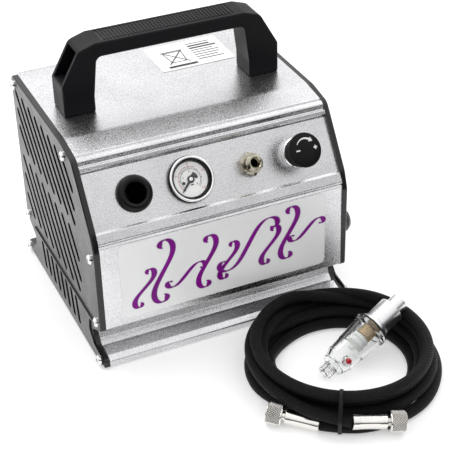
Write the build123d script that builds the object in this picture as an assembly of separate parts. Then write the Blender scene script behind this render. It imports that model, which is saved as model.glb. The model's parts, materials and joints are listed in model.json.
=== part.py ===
"""Desk-top airbrush compressor with its coiled hose and loose moisture trap.

Millimetres, +Z up, X across the front, -Y towards the user.  The origin lies on the bench,
below the middle of the housing.  Each function makes one sub-part and save() writes it.
"""
from build123d import *
import math
import os

# ---------------------------------------------------------------- driving dimensions
FOOT_GAP = 1.0            # rubber feet lift the housing this far off the bench
SHELL_HALF = 85.0         # half the width of the folded aluminium shell
PLATE = 4.0               # thickness of a side plate
WALL = 2.5                # wall of the shell and the rear cover
TOP = 142.5               # top face above the bottom edge
REAR = 79.4               # rear face
FRONT = -77.3             # lower front face
FOOT_Y = 58.0             # half the depth of the base plate between the front and rear feet

PANEL_TOP = (-50.2, 129.9)      # (y, z) where the sloping control panel starts
PANEL_TILT = 34.7               # panel's lean back from the vertical, in degrees
PANEL_ROW = 18.7                # controls lie this far down the slope
PANEL_WALL = 3.0

HOLDER_X = -54.3
GAUGE_X = -16.3
OUTLET_X = 25.0
KNOB_X = 57.9

MOTOR_Y = 14.0
MOTOR_Z = 50.0
MOTOR_R = 30.0
CRANK_X = 31.0            # middle of the connecting rod
CRANK_THROW = 3.0
ROD_LENGTH = 40.0

HANDLE_FRONT = 1.0
HANDLE_REAR = 23.0
HANDLE_TOP = 189.8

HOSE_R = 4.15             # outside radius of the braided hose
HOSE_PITCH = 9.2          # spacing of neighbouring turns
COIL_CENTRE = (51.0, -147.0)
COIL_INNER = 42.0         # radius of the clear middle of the coil
COIL_OUTER = COIL_INNER + 2 * HOSE_R + 1.5 * HOSE_PITCH
COIL_HEIGHT = 24.6        # three layers of hose
LEFT_FIT = ((9.6, -192.1, 5.1), (-15.5, -169.8, 7.2))     # hose end, open end of the nut
RIGHT_FIT = ((24.9, -204.3, 11.3), (56.5, -213.8, 7.2))
FERRULE = 21.6            # length of a crimped sleeve
NUT = 10.4                # length of a knurled nut
TIE_ANGLE = 239.0         # where the strap goes round the coil, in degrees
TIE_WIDTH = 4.0
TIE_THICK = 1.2

TRAP_START = (99.1, -133.4, 31.0)      # open end of the metal cap, resting on the coil
TRAP_END = (34.4, -150.3, 5.0)         # threaded end of the clear bowl, resting on the bench
DRAIN_AT = 57.0           # drain pin's distance from the cap's open end
DRAIN_TURN = -62.0        # and its turn round the trap's axis, from straight up

GRILLE_SLOT = 5.0         # width of a side plate's slots

FILTER_Y = -58.0          # intake filter cap on the right side plate
FILTER_Z = 50.5
SWITCH_X = 22.0           # power switch and inlet on the rear cover
INLET_X = 52.0
INLET_Z = 52.0

SCREW_R = 1.5
SCREW_HEAD_R = 3.4
SCREW_HEAD = 2.2
SIDE_SCREWS = [           # (y, z) of the side screws, the first four in the shell's own bosses
    (73.0, 136.6),
    (-31.5, 135.2),
    (-70.2, 81.0),
    (-71.0, 32.5),
    (-73.6, 3.9),
    (73.2, 32.5),
    (75.5, 3.9),
]

os.makedirs("parts", exist_ok=True)


# ---------------------------------------------------------------- helpers
def save(name, part, lift=FOOT_GAP):
    """Write one sub-part, lifted on to the feet where it belongs to the housing."""
    placed = Pos(0, 0, lift) * part
    placed.label = name
    export_step(placed, f"parts/{name}.step")


def save_group(name, pieces, lift=FOOT_GAP):
    """Write several separate solids as one node."""
    solids = []
    for piece in pieces:
        solids.extend((Pos(0, 0, lift) * piece).solids())
    export_step(Compound(label=name, children=solids), f"parts/{name}.step")


def on_panel(x, height=0.0, down=PANEL_ROW):
    """Frame on the control panel: its Z points out of the panel and its X along the object's."""
    lean = math.radians(PANEL_TILT)
    y = PANEL_TOP[0] - down * math.sin(lean)
    z = PANEL_TOP[1] - down * math.cos(lean)
    normal = (0, -math.cos(lean), math.sin(lean))
    centre = (x, y + height * normal[1], z + height * normal[2])
    return Plane(origin=centre, x_dir=(1, 0, 0), z_dir=normal).location


def side_frame(x):
    """Sketch plane whose X is the object's Y, whose Y is its Z and whose normal is +X."""
    return Plane(origin=(x, 0, 0), x_dir=(0, 1, 0), z_dir=(1, 0, 0))


def rod(x0, x1, y, z, radius):
    """Cylinder along X from x0 to x1."""
    return Pos((x0 + x1) / 2, y, z) * Rot(0, 90, 0) * Cylinder(radius, x1 - x0)


def tube(x0, x1, y, z, outer, inner):
    """Hollow cylinder along X."""
    return rod(x0, x1, y, z, outer) - rod(x0 - 1, x1 + 1, y, z, inner)


def block(x0, x1, y0, y1, z0, z1):
    """Box from its corner values."""
    centre = ((x0 + x1) / 2, (y0 + y1) / 2, (z0 + z1) / 2)
    return Pos(*centre) * Box(x1 - x0, y1 - y0, z1 - z0)


def outline(corners):
    """Closed face in the sketch plane from (u, v, radius) corners, each rounded by its radius."""
    points = [(u, v) for u, v, _ in corners]
    radii = [radius for _, _, radius in corners]
    wire = FilletPolyline(*points, radius=radii, close=True)
    return make_face(wire)


def along_x(face, x0, x1):
    """Extrude a side-view face from x0 to x1."""
    return extrude(side_frame(x0) * face, amount=x1 - x0, dir=(1, 0, 0))


def turned(points):
    """Solid of revolution about local Z from (radius, height) corners."""
    profile = make_face(Polyline(*points, close=True))
    return revolve(Plane.XZ * profile, axis=Axis.Z)


def pan_screw(length, head_r=SCREW_HEAD_R, head=SCREW_HEAD, shank_r=SCREW_R):
    """Domed screw along Z: head above 0, shank below."""
    dome = turned(
        [
            (0, 0),
            (head_r, 0),
            (head_r, head * 0.35),
            (head_r * 0.82, head * 0.78),
            (head_r * 0.5, head),
            (0, head),
        ]
    )
    recess = Pos(0, 0, head) * (Box(3.0, 0.9, 1.6) + Box(0.9, 3.0, 1.6))
    return dome + Pos(0, 0, -length / 2) * Cylinder(shank_r, length) - recess


# ---------------------------------------------------------------- housing
def shell_outline():
    """Side view of the shell: top, rolled shoulder, sloping panel, front and undercut foot."""
    lean = math.radians(PANEL_TILT)
    slope = 37.0
    low_y = PANEL_TOP[0] - slope * math.sin(lean)
    low_z = PANEL_TOP[1] - slope * math.cos(lean)
    back = (PANEL_WALL * math.cos(lean), -PANEL_WALL * math.sin(lean))
    outer = [
        (REAR - WALL, TOP, 0.6),
        (-24.0, TOP, 20.0),
        (-42.6, 139.9, 1.0),
        (-43.6, 138.3, 0.4),
        (-44.5, 139.4, 0.8),
        (-47.6, 138.0, 2.2),
        (-48.2, 134.6, 0.8),
        (-50.2, 134.6, 0.7),
        (-51.2, 132.6, 0.5),
        (-49.9, 131.2, 0.3),
        (PANEL_TOP[0], PANEL_TOP[1], 0.2),
        (low_y, low_z, 0.3),
        (-72.9, 98.9, 0.8),
        (-76.6, 93.2, 1.6),
        (-75.2, 91.4, 0.4),
        (-76.4, 90.2, 0.6),
        (FRONT, 31.5, 1.5),
        (FRONT, 29.1, 0.7),
        (-75.0, 28.2, 1.0),
        (-57.2, 18.6, 3.0),
        (-61.4, 11.0, 3.0),
        (-65.3, 7.2, 1.0),
        (-68.0, 9.4, 1.6),
        (-76.0, 7.4, 2.5),
        (-79.5, 4.6, 1.6),
        (-79.5, 0.0, 0.5),
    ]
    inner = [
        (-FOOT_Y - 0.4, 0.0, 0.4),
        (-FOOT_Y - 0.4, 4.5, 1.5),
        (-54.4, 14.0, 2.0),
        (-54.4, 20.2, 2.0),
        (-72.0, 31.0, 1.5),
        (-74.7, 33.0, 1.0),
        (-73.4, 89.5, 2.0),
        (low_y + back[0], low_z + back[1] + 0.2, 1.0),
        (PANEL_TOP[0] + back[0] + 0.3, PANEL_TOP[1] + back[1], 1.0),
        (-45.2, 133.4, 1.5),
        (-40.0, 136.8, 3.0),
        (-24.0, TOP - WALL, 10.0),
        (REAR - WALL, TOP - WALL, 0.4),
    ]
    return outer + inner


def screw_channels(places):
    """Round channels along the extrusion that take the side screws."""
    channel = Part()
    for y, z in places:
        channel += rod(-SHELL_HALF, SHELL_HALF, y, z, 3.8)
    return channel


def screw_holes(places):
    holes = Part()
    for y, z in places:
        holes += rod(-SHELL_HALF - 20, SHELL_HALF + 20, y, z, SCREW_R + 0.06)
    return holes


def housing_shell():
    body = along_x(outline(shell_outline()), -SHELL_HALF, SHELL_HALF)
    body += screw_channels(SIDE_SCREWS[:4])
    body -= screw_holes(SIDE_SCREWS[:5])
    for x, radius in [(HOLDER_X, 9.1), (GAUGE_X, 13.6), (OUTLET_X, 5.0), (KNOB_X, 8.1)]:
        body -= on_panel(x) * Cylinder(radius, 30)
    for x, y in handle_screw_places():
        body -= Pos(x, y, TOP) * Cylinder(2.1, 20)
    return body


def rear_cover():
    """Rear wall with a mirrored foot, vent slots, and cut-outs for switch and inlet."""
    corners = [
        (REAR - WALL, TOP, 0.3),
        (REAR, TOP, 0.8),
        (REAR, 29.1, 2.0),
        (59.5, 18.6, 3.0),
        (63.5, 10.6, 3.0),
        (70.0, 9.0, 2.0),
        (78.0, 7.6, 2.5),
        (81.2, 4.6, 1.6),
        (81.2, 0.0, 0.5),
        (FOOT_Y + 0.4, 0.0, 0.4),
        (FOOT_Y + 0.4, 6.0, 1.5),
        (56.5, 14.0, 2.0),
        (56.5, 20.2, 2.0),
        (REAR - WALL, 31.5, 1.5),
    ]
    body = along_x(outline(corners), -SHELL_HALF, SHELL_HALF)
    body += screw_channels(SIDE_SCREWS[5:6])
    body -= screw_holes(SIDE_SCREWS[5:])
    for row in range(7):
        for column in range(2):
            x = -38.0 + 76.0 * column
            body -= Pos(x, REAR, 76.0 + 8.0 * row) * Box(58.0, 12.0, 3.4)
    body -= Pos(SWITCH_X, REAR, INLET_Z) * Box(20.2, 30, 14.2)
    body -= Pos(INLET_X, REAR, INLET_Z) * Box(22.2, 30, 17.2)
    return body


def side_plate_outline():
    return [
        (REAR, TOP, 5.0),
        (-26.0, TOP, 20.0),
        (-46.0, 139.0, 7.0),
        (-51.4, 131.6, 4.0),
        (-73.2, 99.6, 12.0),
        (FRONT, 88.0, 10.0),
        (FRONT, 28.4, 2.4),
        (-57.2, 17.4, 4.0),
        (-64.5, 7.4, 5.0),
        (-79.5, 6.4, 2.4),
        (-79.5, 0.0, 1.2),
        (81.2, 0.0, 1.2),
        (81.2, 6.4, 2.4),
        (66.5, 7.4, 5.0),
        (59.2, 17.4, 4.0),
        (REAR, 28.4, 2.4),
    ]


def slot_cutter(y0, z0, y1, z1, width):
    """Round-ended slot between two points of the side view, cut through both ways."""
    length = math.hypot(y1 - y0, z1 - z0) + width
    angle = math.degrees(math.atan2(z1 - z0, y1 - y0))
    face = Pos((y0 + y1) / 2, (z0 + z1) / 2) * Rot(0, 0, angle) * SlotOverall(length, width)
    return along_x(face, -8.0, 8.0)


def grille_slots():
    """Two rows of slanting slots and a row of short upright ones near the foot."""
    slots = []
    front, back = -43.5, 69.5
    for top, bottom, first, slope in [(132.0, 92.0, 97.6, 1.035), (81.5, 38.5, 96.6, 0.87)]:
        for index in range(10):
            y_top = first - 14.0 * index
            z_top = min(top, top - (y_top - back) / slope)
            y_low = y_top - slope * (top - bottom)
            z_low = max(bottom, bottom + (front - y_low) / slope)
            if z_top - z_low > 6.0:
                start = y_top - slope * (top - z_top)
                end = y_top - slope * (top - z_low)
                slots.append(slot_cutter(start, z_top, end, z_low, GRILLE_SLOT))
    for index in range(8):
        y_top = 40.5 - 10.25 * index
        slots.append(slot_cutter(y_top, 25.6, y_top - 3.4, 9.6, GRILLE_SLOT))
    return slots


def side_plate(side):
    """Black side plate with a raised lower band, a bevelled rim and its grille of slots."""
    face = outline(side_plate_outline())
    near = SHELL_HALF * side
    far = (SHELL_HALF + PLATE) * side
    body = extrude(side_frame(near) * face, amount=PLATE, dir=(side, 0, 0))
    rim = body.faces().sort_by(Axis.X)[-1 if side > 0 else 0].outer_wire().edges()
    body = chamfer(rim, 0.7)
    band = [
        (-66.0, 29.3, 0.5),
        (-57.6, 29.3 - 2.5, 0.5),
        (-55.5, 17.4, 3.0),
        (-62.5, 9.6, 4.0),
        (-76.5, 8.0, 2.0),
        (-76.5, 1.2, 0.5),
        (78.0, 1.2, 0.5),
        (78.0, 8.0, 2.0),
        (64.5, 9.6, 4.0),
        (57.5, 17.4, 3.0),
        (60.0, 29.3, 0.5),
    ]
    raised = extrude(side_frame(far) * outline(band), amount=1.0, dir=(side, 0, 0))
    body += raised
    for slot in grille_slots():
        body -= Pos(far, 0, 0) * slot
    body -= screw_holes(SIDE_SCREWS)
    if side > 0:
        body -= rod(80, 95, FILTER_Y, FILTER_Z, 5.1)
    return body


def side_screws(side):
    screws = []
    for index, (y, z) in enumerate(SIDE_SCREWS):
        face_x = SHELL_HALF + PLATE + (1.0 if index in (4, 6) else 0.0)
        frame = Plane(origin=(side * face_x, y, z), x_dir=(0, 1, 0), z_dir=(side, 0, 0))
        screws.append(frame.location * pan_screw(11.0))
    return screws


def base_plate():
    body = block(-84.6, 84.6, -FOOT_Y, FOOT_Y, 0.0, 3.0)
    for x, y in foot_places():
        body -= Pos(x, y, 0) * Cylinder(7.2, 3.0)
        body -= Pos(x, y, 2) * Cylinder(1.6, 6.0)
    for index in range(9):
        body -= Pos(-30.0 + 7.5 * index, -36.0, 1.5) * Box(3.0, 24.0, 6.0)
    return body


def foot_places():
    return [(x, y) for x in (-70.0, 70.0) for y in (-46.0, 46.0)]


def rubber_feet():
    feet = []
    for x, y in foot_places():
        pad = Pos(x, y, 0.2) * Cylinder(7.0, 2.4)
        pad = chamfer(pad.edges().sort_by(Axis.Z)[:1], 0.4)
        pad -= Pos(x, y, 0) * Cylinder(1.6, 6.0)
        pad -= Pos(x, y, -1.0) * Cylinder(3.3, 2.6)
        feet.append(pad)
    return feet


def foot_screws():
    screws = []
    for x, y in foot_places():
        frame = Pos(x, y, 0.28) * Rot(180, 0, 0)
        screws.append(frame * pan_screw(5.0, head_r=3.0, head=1.0))
    return screws


# ---------------------------------------------------------------- carrying handle
def handle_screw_places():
    middle = (HANDLE_FRONT + HANDLE_REAR) / 2
    return [(side * 65.5, middle + step) for side in (-1, 1) for step in (-5.5, 5.5)]


def handle():
    """Arched handle: closed feet, legs channelled on their outer side, and a flat top bar."""
    half = [
        (76.0, TOP, 1.2),
        (76.0, 163.5, 3.0),
        (63.2, 186.2, 6.0),
        (52.0, HANDLE_TOP, 7.0),
    ]
    outer = half + [(-x, z, r) for x, z, r in reversed(half)]
    inside = [
        (-54.8, TOP, 1.2),
        (-54.8, 153.5, 6.0),
        (-51.6, 180.2, 4.5),
    ]
    inner = inside + [(-x, z, r) for x, z, r in reversed(inside)]
    depth = HANDLE_REAR - HANDLE_FRONT
    plane = Plane(origin=(0, HANDLE_REAR, 0), x_dir=(1, 0, 0), z_dir=(0, -1, 0))
    body = extrude(plane * outline(outer + inner), amount=depth, dir=(0, -1, 0))
    ends = body.faces().sort_by(Axis.Y)
    rims = ends[0].outer_wire().edges() + ends[-1].outer_wire().edges()
    body = chamfer(rims, 0.7)
    for side in (-1, 1):
        channel = [
            (side * 80.0, 164.5, 0.2),
            (side * 59.2, 164.5, 2.5),
            (side * 56.4, 182.2, 1.5),
            (side * 80.0, 190.5, 0.2),
        ]
        if side < 0:
            channel.reverse()
        middle = Plane(origin=(0, HANDLE_REAR - 3.2, 0), x_dir=(1, 0, 0), z_dir=(0, -1, 0))
        body -= extrude(middle * outline(channel), amount=depth - 6.4, dir=(0, -1, 0))
    body -= block(-46.5, 45.5, 3.6, 20.4, HANDLE_TOP - 2.0, HANDLE_TOP + 2)
    for x, y in handle_screw_places():
        body -= Pos(x, y, TOP) * Cylinder(2.0, 24)
    return body


def handle_grip():
    """Soft insert let into the top bar, with ribs across it."""
    body = block(-46.3, 45.3, 3.8, 20.2, HANDLE_TOP - 2.0, HANDLE_TOP - 0.4)
    for index in range(38):
        x = -45.0 + 2.4 * index
        rib = Pos(x, 12.0, HANDLE_TOP - 0.4) * Rot(90, 0, 0) * Cylinder(0.8, 15.4)
        body += rib & block(-46.3, 45.3, 3.8, 20.2, HANDLE_TOP - 0.5, HANDLE_TOP + 2)
    return body


def handle_screws():
    screws = []
    for x, y in handle_screw_places():
        frame = Pos(x, y, TOP - WALL) * Rot(180, 0, 0)
        screws.append(frame * pan_screw(12.0, shank_r=1.9))
    return screws


# ---------------------------------------------------------------- labels
def front_label():
    """Thin printed label that follows the lower front face."""
    low, high = 34.0, 89.4
    lean = (FRONT + 76.4) / (31.5 - 90.2)
    low_y = FRONT + lean * (low - 31.5)
    tilt = math.degrees(math.atan(lean))
    frame = Pos(0, low_y, low) * Rot(90 - tilt, 0, 0)
    face = Pos(-0.3, (high - low) / 2) * RectangleRounded(145.4, high - low, 4.0)
    return frame * Pos(0, 0, 0.02) * extrude(face, amount=0.3)


def top_label():
    face = Pos(32.0, 52.5) * RectangleRounded(54.0, 39.0, 2.0)
    return Pos(0, 0, TOP + 0.02) * extrude(face, amount=0.25)


# ---------------------------------------------------------------- control panel
def airbrush_holder():
    """Domed cup that holds an airbrush: ring outside, closed sleeve inside."""
    ring = turned(
        [
            (6.85, -38.0),
            (6.85, 4.6),
            (7.6, 5.1),
            (9.3, 5.2),
            (10.9, 4.2),
            (11.7, 2.6),
            (12.0, 0.05),
            (9.0, 0.05),
            (9.0, -40.0),
            (0.0, -40.0),
            (0.0, -38.0),
        ]
    )
    return on_panel(HOLDER_X) * ring


def airbrush_holder_nut():
    nut = Pos(0, 0, -6.2) * Cylinder(13.0, 4.8) - Pos(0, 0, -6.2) * Cylinder(9.06, 8)
    for index in range(6):
        nut -= Rot(0, 0, 60 * index) * Pos(13.4, 0, -6.2) * Cylinder(1.8, 8)
    return on_panel(HOLDER_X) * nut


def gauge_case():
    cup = Pos(0, 0, -10.0) * Cylinder(13.4, 20.0) - Pos(0, 0, -8.5) * Cylinder(12.6, 20.0)
    cup -= Pos(0, 0, -20) * Cylinder(4.1, 6)
    return on_panel(GAUGE_X) * cup


def gauge_bezel():
    """Chrome ring that holds the glass."""
    ring = turned(
        [
            (12.65, 0.1),
            (12.65, 3.1),
            (12.2, 3.1),
            (12.2, 3.4),
            (13.3, 4.6),
            (14.2, 4.5),
            (14.9, 3.7),
            (15.1, 2.4),
            (15.1, 0.1),
        ]
    )
    return on_panel(GAUGE_X) * ring


def gauge_dial():
    dial = Pos(0, 0, 0.5) * Cylinder(12.5, 0.6) - Cylinder(0.9, 6)
    dial += Pos(0, 0, -1.4) * Cylinder(12.5, 3.2) - Pos(0, 0, -1.4) * Cylinder(11.6, 5)
    return on_panel(GAUGE_X) * dial


def gauge_needle():
    """Pointer on its own spindle, resting at zero, down and to the left."""
    tip = make_face(Polyline((-0.55, 0), (-0.18, 9.6), (0.18, 9.6), (0.55, 0), close=True))
    tail = make_face(Polyline((-0.5, 0), (-0.9, -3.4), (0.9, -3.4), (0.5, 0), close=True))
    pointer = Pos(0, 0, 1.15) * (extrude(tip, amount=0.35) + extrude(tail, amount=0.35))
    pointer += Pos(0, 0, 1.35) * Cylinder(1.5, 0.7)
    pointer += Pos(0, 0, -2.3) * Cylinder(0.6, 7.2)
    return on_panel(GAUGE_X) * Rot(0, 0, 135) * pointer


def gauge_lens():
    lens = Pos(0, 0, 2.55) * Cylinder(12.5, 1.0)
    return on_panel(GAUGE_X) * lens


def gauge_movement():
    """Bent pressure tube on a brass stem that reaches the manifold."""
    bent = Torus(7.4, 1.3) - Pos(0, -12, 0) * Box(8, 16, 8)
    stem = Pos(0, 0, -16.6) * Cylinder(3.9, 14.6)
    arm = Pos(4.6, -5.6, -9.6) * Box(3.4, 3.4, 2.6) + Pos(2.4, -2.4, -10.4) * Box(7, 7, 1.6)
    return on_panel(GAUGE_X) * (Pos(0, 0, -8.6) * bent + stem + arm)


def outlet_fitting():
    """Hexagon and outside thread that the hose nut screws on to."""
    hexagon = extrude(RegularPolygon(7.0, 6, major_radius=False), amount=5.0)
    hexagon &= turned([(0, 0), (7.6, 0), (8.1, 0.6), (8.1, 4.2), (7.3, 5.0), (0, 5.0)])
    body = Pos(0, 0, 0.05) * Rot(0, 0, -25) * hexagon
    body += turned([(0, 4.9), (4.865, 4.9), (4.865, 12.0), (4.2, 12.6), (0, 12.6)])
    body += Pos(0, 0, -11.9) * Cylinder(4.8, 24.2)
    body -= Pos(0, 0, -3.0) * Cylinder(1.85, 44.0)
    body -= turned([(0, 9.4), (1.9, 9.4), (3.7, 12.8), (0, 12.8)])
    return on_panel(OUTLET_X) * body


def outlet_locknut():
    nut = extrude(RegularPolygon(7.5, 6, major_radius=False), amount=4.0)
    nut -= Cylinder(4.86, 20)
    return on_panel(OUTLET_X) * Pos(0, 0, -7.8) * nut


def regulator_body():
    body = Pos(0, 0, -20.0) * Cylinder(12.5, 33.0)
    body += Pos(0, 0, 1.0) * Cylinder(7.9, 9.0)
    body -= Pos(0, 0, 0) * Cylinder(3.06, 12.0)
    body -= Pos(0, 0, -18.0) * Cylinder(9.0, 25.0)
    return on_panel(KNOB_X) * body


def regulator_collar():
    """Plated ring nut that clamps the regulator to the panel."""
    ring = turned(
        [(8.0, 0.05), (9.8, 0.05), (10.1, 0.5), (10.1, 4.9), (9.7, 5.4), (8.0, 5.4)]
    )
    return on_panel(KNOB_X) * ring


def regulator_knob():
    """Pressure knob: a broad front face on a body that tapers towards the panel."""
    knob = turned(
        [
            (0, 18.2),
            (7.0, 18.0),
            (10.3, 17.6),
            (11.35, 16.7),
            (11.1, 15.4),
            (7.6, 6.3),
            (3.0, 6.3),
            (3.0, 12.8),
            (0, 12.8),
        ]
    )
    return on_panel(KNOB_X) * knob


def regulator_stem():
    """Screwed stem that the knob turns, pressing on the spring."""
    stem = Pos(0, 0, 2.6) * Cylinder(3.0, 20.2)
    stem += Pos(0, 0, -8.0) * Cylinder(6.6, 2.6)
    return on_panel(KNOB_X) * stem


def regulator_spring():
    turns = Helix(pitch=3.4, height=13.6, radius=5.0)
    section = Plane(origin=turns @ 0, z_dir=turns % 0) * Circle(0.7)
    return on_panel(KNOB_X) * Pos(0, 0, -24.2) * sweep(section, path=turns, is_frenet=True)


def regulator_diaphragm():
    disc = Pos(0, 0, -26.4) * Cylinder(8.9, 1.4) + Pos(0, 0, -28.2) * Cylinder(3.0, 2.6)
    return on_panel(KNOB_X) * disc


def air_manifold():
    """Bar behind the panel that joins regulator, outlet and gauge."""
    bar = Pos((GAUGE_X - 8.0 + 45.2) / 2, 0, -30.0) * Box(45.2 - GAUGE_X + 8.0, 12.0, 12.0)
    bar -= Pos(12.0, 0, -30.0) * Rot(0, 90, 0) * Cylinder(2.0, 60.0)
    return on_panel(0) * bar


def pressure_switch():
    body = Pos(GAUGE_X - 16.6, 0, -30.0) * Box(17.0, 14.0, 16.0)
    for step in (-4.0, 4.0):
        body += Pos(GAUGE_X - 16.6 + step, 0, -40.0) * Box(0.8, 6.0, 6.0)
    return on_panel(0) * body


# ---------------------------------------------------------------- motor and pump
def motor_can():
    can = tube(-59.0, -1.0, MOTOR_Y, MOTOR_Z, MOTOR_R, MOTOR_R - 2.2)
    for index in range(4):
        turn = Pos(0, MOTOR_Y, MOTOR_Z) * Rot(45 + 90 * index, 0, 0)
        can -= turn * Pos(-51.0, 0, MOTOR_R) * Box(8.0, 14.0, 10.0)
    return can


def motor_end_caps():
    left = tube(-62.0, -59.0, MOTOR_Y, MOTOR_Z, MOTOR_R, 8.05)
    right = tube(-1.0, 2.0, MOTOR_Y, MOTOR_Z, MOTOR_R, 8.05)
    return [left, right]


def motor_bearings():
    places = [(-62.0, -57.5), (-2.5, 2.0), (17.0, 21.0)]
    return [tube(a, b, MOTOR_Y, MOTOR_Z, 8.0, 3.05) for a, b in places]


def stator_core():
    core = tube(-46.0, -14.0, MOTOR_Y, MOTOR_Z, MOTOR_R - 2.25, 16.0)
    for index in range(8):
        turn = Pos(0, MOTOR_Y, MOTOR_Z) * Rot(45 * index, 0, 0)
        core -= turn * Pos(-30.0, 0, 18.5) * Box(60.0, 3.0, 9.0)
    return core


def stator_windings():
    return [
        tube(-53.0, -46.2, MOTOR_Y, MOTOR_Z, 24.5, 17.0),
        tube(-13.8, -7.0, MOTOR_Y, MOTOR_Z, 24.5, 17.0),
    ]


def motor_rotor():
    """Shaft with armature and commutator."""
    shaft = rod(-80.0, 26.0, MOTOR_Y, MOTOR_Z, 3.0)
    shaft += rod(-46.0, -14.0, MOTOR_Y, MOTOR_Z, 15.4)
    shaft += rod(-54.0, -47.0, MOTOR_Y, MOTOR_Z, 8.0)
    return shaft


def cooling_fan():
    hub = tube(-79.0, -68.0, MOTOR_Y, MOTOR_Z, 8.0, 3.03)
    for index in range(7):
        turn = Pos(-73.5, MOTOR_Y, MOTOR_Z) * Rot(360 / 7 * index, 0, 0)
        hub += turn * Pos(0, 0, 17.0) * Rot(0, 0, 38) * Box(1.8, 12.0, 20.0)
    return hub


def crank_web():
    """Counterweight and crank pin."""
    web = rod(21.6, 26.6, MOTOR_Y, MOTOR_Z, 13.0)
    web -= rod(20, 26.05, MOTOR_Y, MOTOR_Z, 3.03)
    web -= block(20, 28, MOTOR_Y - 14, MOTOR_Y + 14, MOTOR_Z + 6, MOTOR_Z + 14) - rod(
        20, 28, MOTOR_Y, MOTOR_Z + CRANK_THROW, 6.0
    )
    return web + rod(26.6, 36.0, MOTOR_Y, MOTOR_Z + CRANK_THROW, 4.0)


def connecting_rod():
    low = MOTOR_Z + CRANK_THROW
    high = low + ROD_LENGTH
    body = rod(28.0, 34.0, MOTOR_Y, low, 8.0)
    body += rod(28.6, 33.4, MOTOR_Y, high, 3.6)
    body += block(29.0, 33.0, MOTOR_Y - 2.6, MOTOR_Y + 2.6, low + 5.0, high)
    return body - rod(20, 40, MOTOR_Y, low, 4.05)


def piston():
    """Hollow piston; its crown is clear of the rod's end over both strokes."""
    cup = Pos(CRANK_X, MOTOR_Y, 95.0) * Cylinder(11.9, 24.0)
    cup -= Pos(CRANK_X, MOTOR_Y, 92.0) * Cylinder(9.2, 23.0)
    cup -= Pos(CRANK_X, MOTOR_Y, 104.4) * (Cylinder(13, 1.8) - Cylinder(10.8, 1.8))
    return cup


def crankcase():
    body = block(13.0, 44.0, MOTOR_Y - 20, MOTOR_Y + 20, 20.0, 76.0)
    body -= block(21.2, 40.5, MOTOR_Y - 16.5, MOTOR_Y + 16.5, 23.5, 72.0)
    body -= Pos(CRANK_X, MOTOR_Y, 76) * Cylinder(12.0, 12)
    body -= rod(10, 16.9, MOTOR_Y, MOTOR_Z, 4.0)
    body -= rod(16.9, 22.0, MOTOR_Y, MOTOR_Z, 8.05)
    body += block(13.0, 44.0, MOTOR_Y - 26, MOTOR_Y + 26, 17.0, 20.0)
    return body


def cylinder_barrel():
    body = Pos(CRANK_X, MOTOR_Y, 93.0) * Cylinder(15.0, 33.6)
    for index in range(5):
        body += Pos(CRANK_X, MOTOR_Y, 82.0 + 5.6 * index) * Cylinder(19.5, 1.8)
    return body - Pos(CRANK_X, MOTOR_Y, 93.0) * Cylinder(12.0, 60.0)


def valve_plate():
    plate = Pos(CRANK_X, MOTOR_Y, 111.1) * Box(38.0, 38.0, 2.4)
    for step in (-5.0, 5.0):
        plate -= Pos(CRANK_X + step, MOTOR_Y, 111.1) * Cylinder(1.6, 6)
    return plate


def cylinder_head():
    head = Pos(CRANK_X, MOTOR_Y, 118.4) * Box(38.0, 38.0, 12.0)
    for index in range(6):
        head -= Pos(CRANK_X, MOTOR_Y - 15.0 + 6.0 * index, 122.0) * Box(50.0, 3.0, 8.0)
    head += Pos(CRANK_X, MOTOR_Y - 17.0, 116.4) * Box(30.0, 6.0, 8.0)
    return head


def motor_cradle():
    body = block(-55.0, -5.0, MOTOR_Y - 26, MOTOR_Y + 26, 8.0, 30.0)
    return body - rod(-60, 0, MOTOR_Y, MOTOR_Z, MOTOR_R + 0.1)


def isolator_places():
    motor = [(x, MOTOR_Y + s, 8.0) for x in (-47.0, -13.0) for s in (-18.0, 18.0)]
    pump = [(CRANK_X - 2.5, MOTOR_Y + s, 17.0) for s in (-20.0, 20.0)]
    return motor + pump


def rubber_isolators():
    pieces = []
    for x, y, top in isolator_places():
        height = top - 3.05
        pieces.append(Pos(x, y, 3.0 + height / 2) * Cylinder(6.0, height))
    return pieces


def bent_pipe(points, radius, bend, bore):
    """Pipe of straight runs joined by arcs through the points given."""
    path = FilletPolyline(*points, radius=bend)
    start = Plane(origin=path @ 0, z_dir=path % 0)
    outside = sweep(start * Circle(radius), path=path)
    inside = sweep(start * Circle(bore), path=path)
    return outside - inside


def delivery_pipe():
    """Carries air from the head to the manifold."""
    points = [
        (CRANK_X - 10.0, MOTOR_Y - 20.1, 116.4),
        (CRANK_X - 10.0, MOTOR_Y - 32.0, 116.4),
        (CRANK_X - 22.0, MOTOR_Y - 36.0, 106.0),
        (CRANK_X - 22.0, -28.6, 102.7),
    ]
    return bent_pipe(points, 2.5, 5.0, 1.5)


def intake_pipe():
    """Carries air from the intake filter to the head."""
    points = [
        (79.0, FILTER_Y, FILTER_Z),
        (66.0, FILTER_Y, FILTER_Z),
        (60.0, -22.0, 62.0),
        (66.0, MOTOR_Y, 104.0),
        (66.0, MOTOR_Y, 116.4),
        (CRANK_X + 19.1, MOTOR_Y, 116.4),
    ]
    return bent_pipe(points, 2.8, 5.5, 1.8)


def intake_filter():
    """Domed cap of the intake filter on the right side plate."""
    cap = turned(
        [
            (0, 12.2),
            (3.4, 12.0),
            (6.4, 10.6),
            (8.3, 8.2),
            (9.0, 5.2),
            (9.0, 0.05),
            (5.0, 0.05),
            (5.0, -10.0),
            (2.9, -10.0),
            (2.9, 3.0),
            (0, 3.0),
        ]
    )
    frame = Plane(origin=(SHELL_HALF + PLATE, FILTER_Y, FILTER_Z), x_dir=(0, 1, 0), z_dir=(1, 0, 0))
    return frame.location * cap


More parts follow.
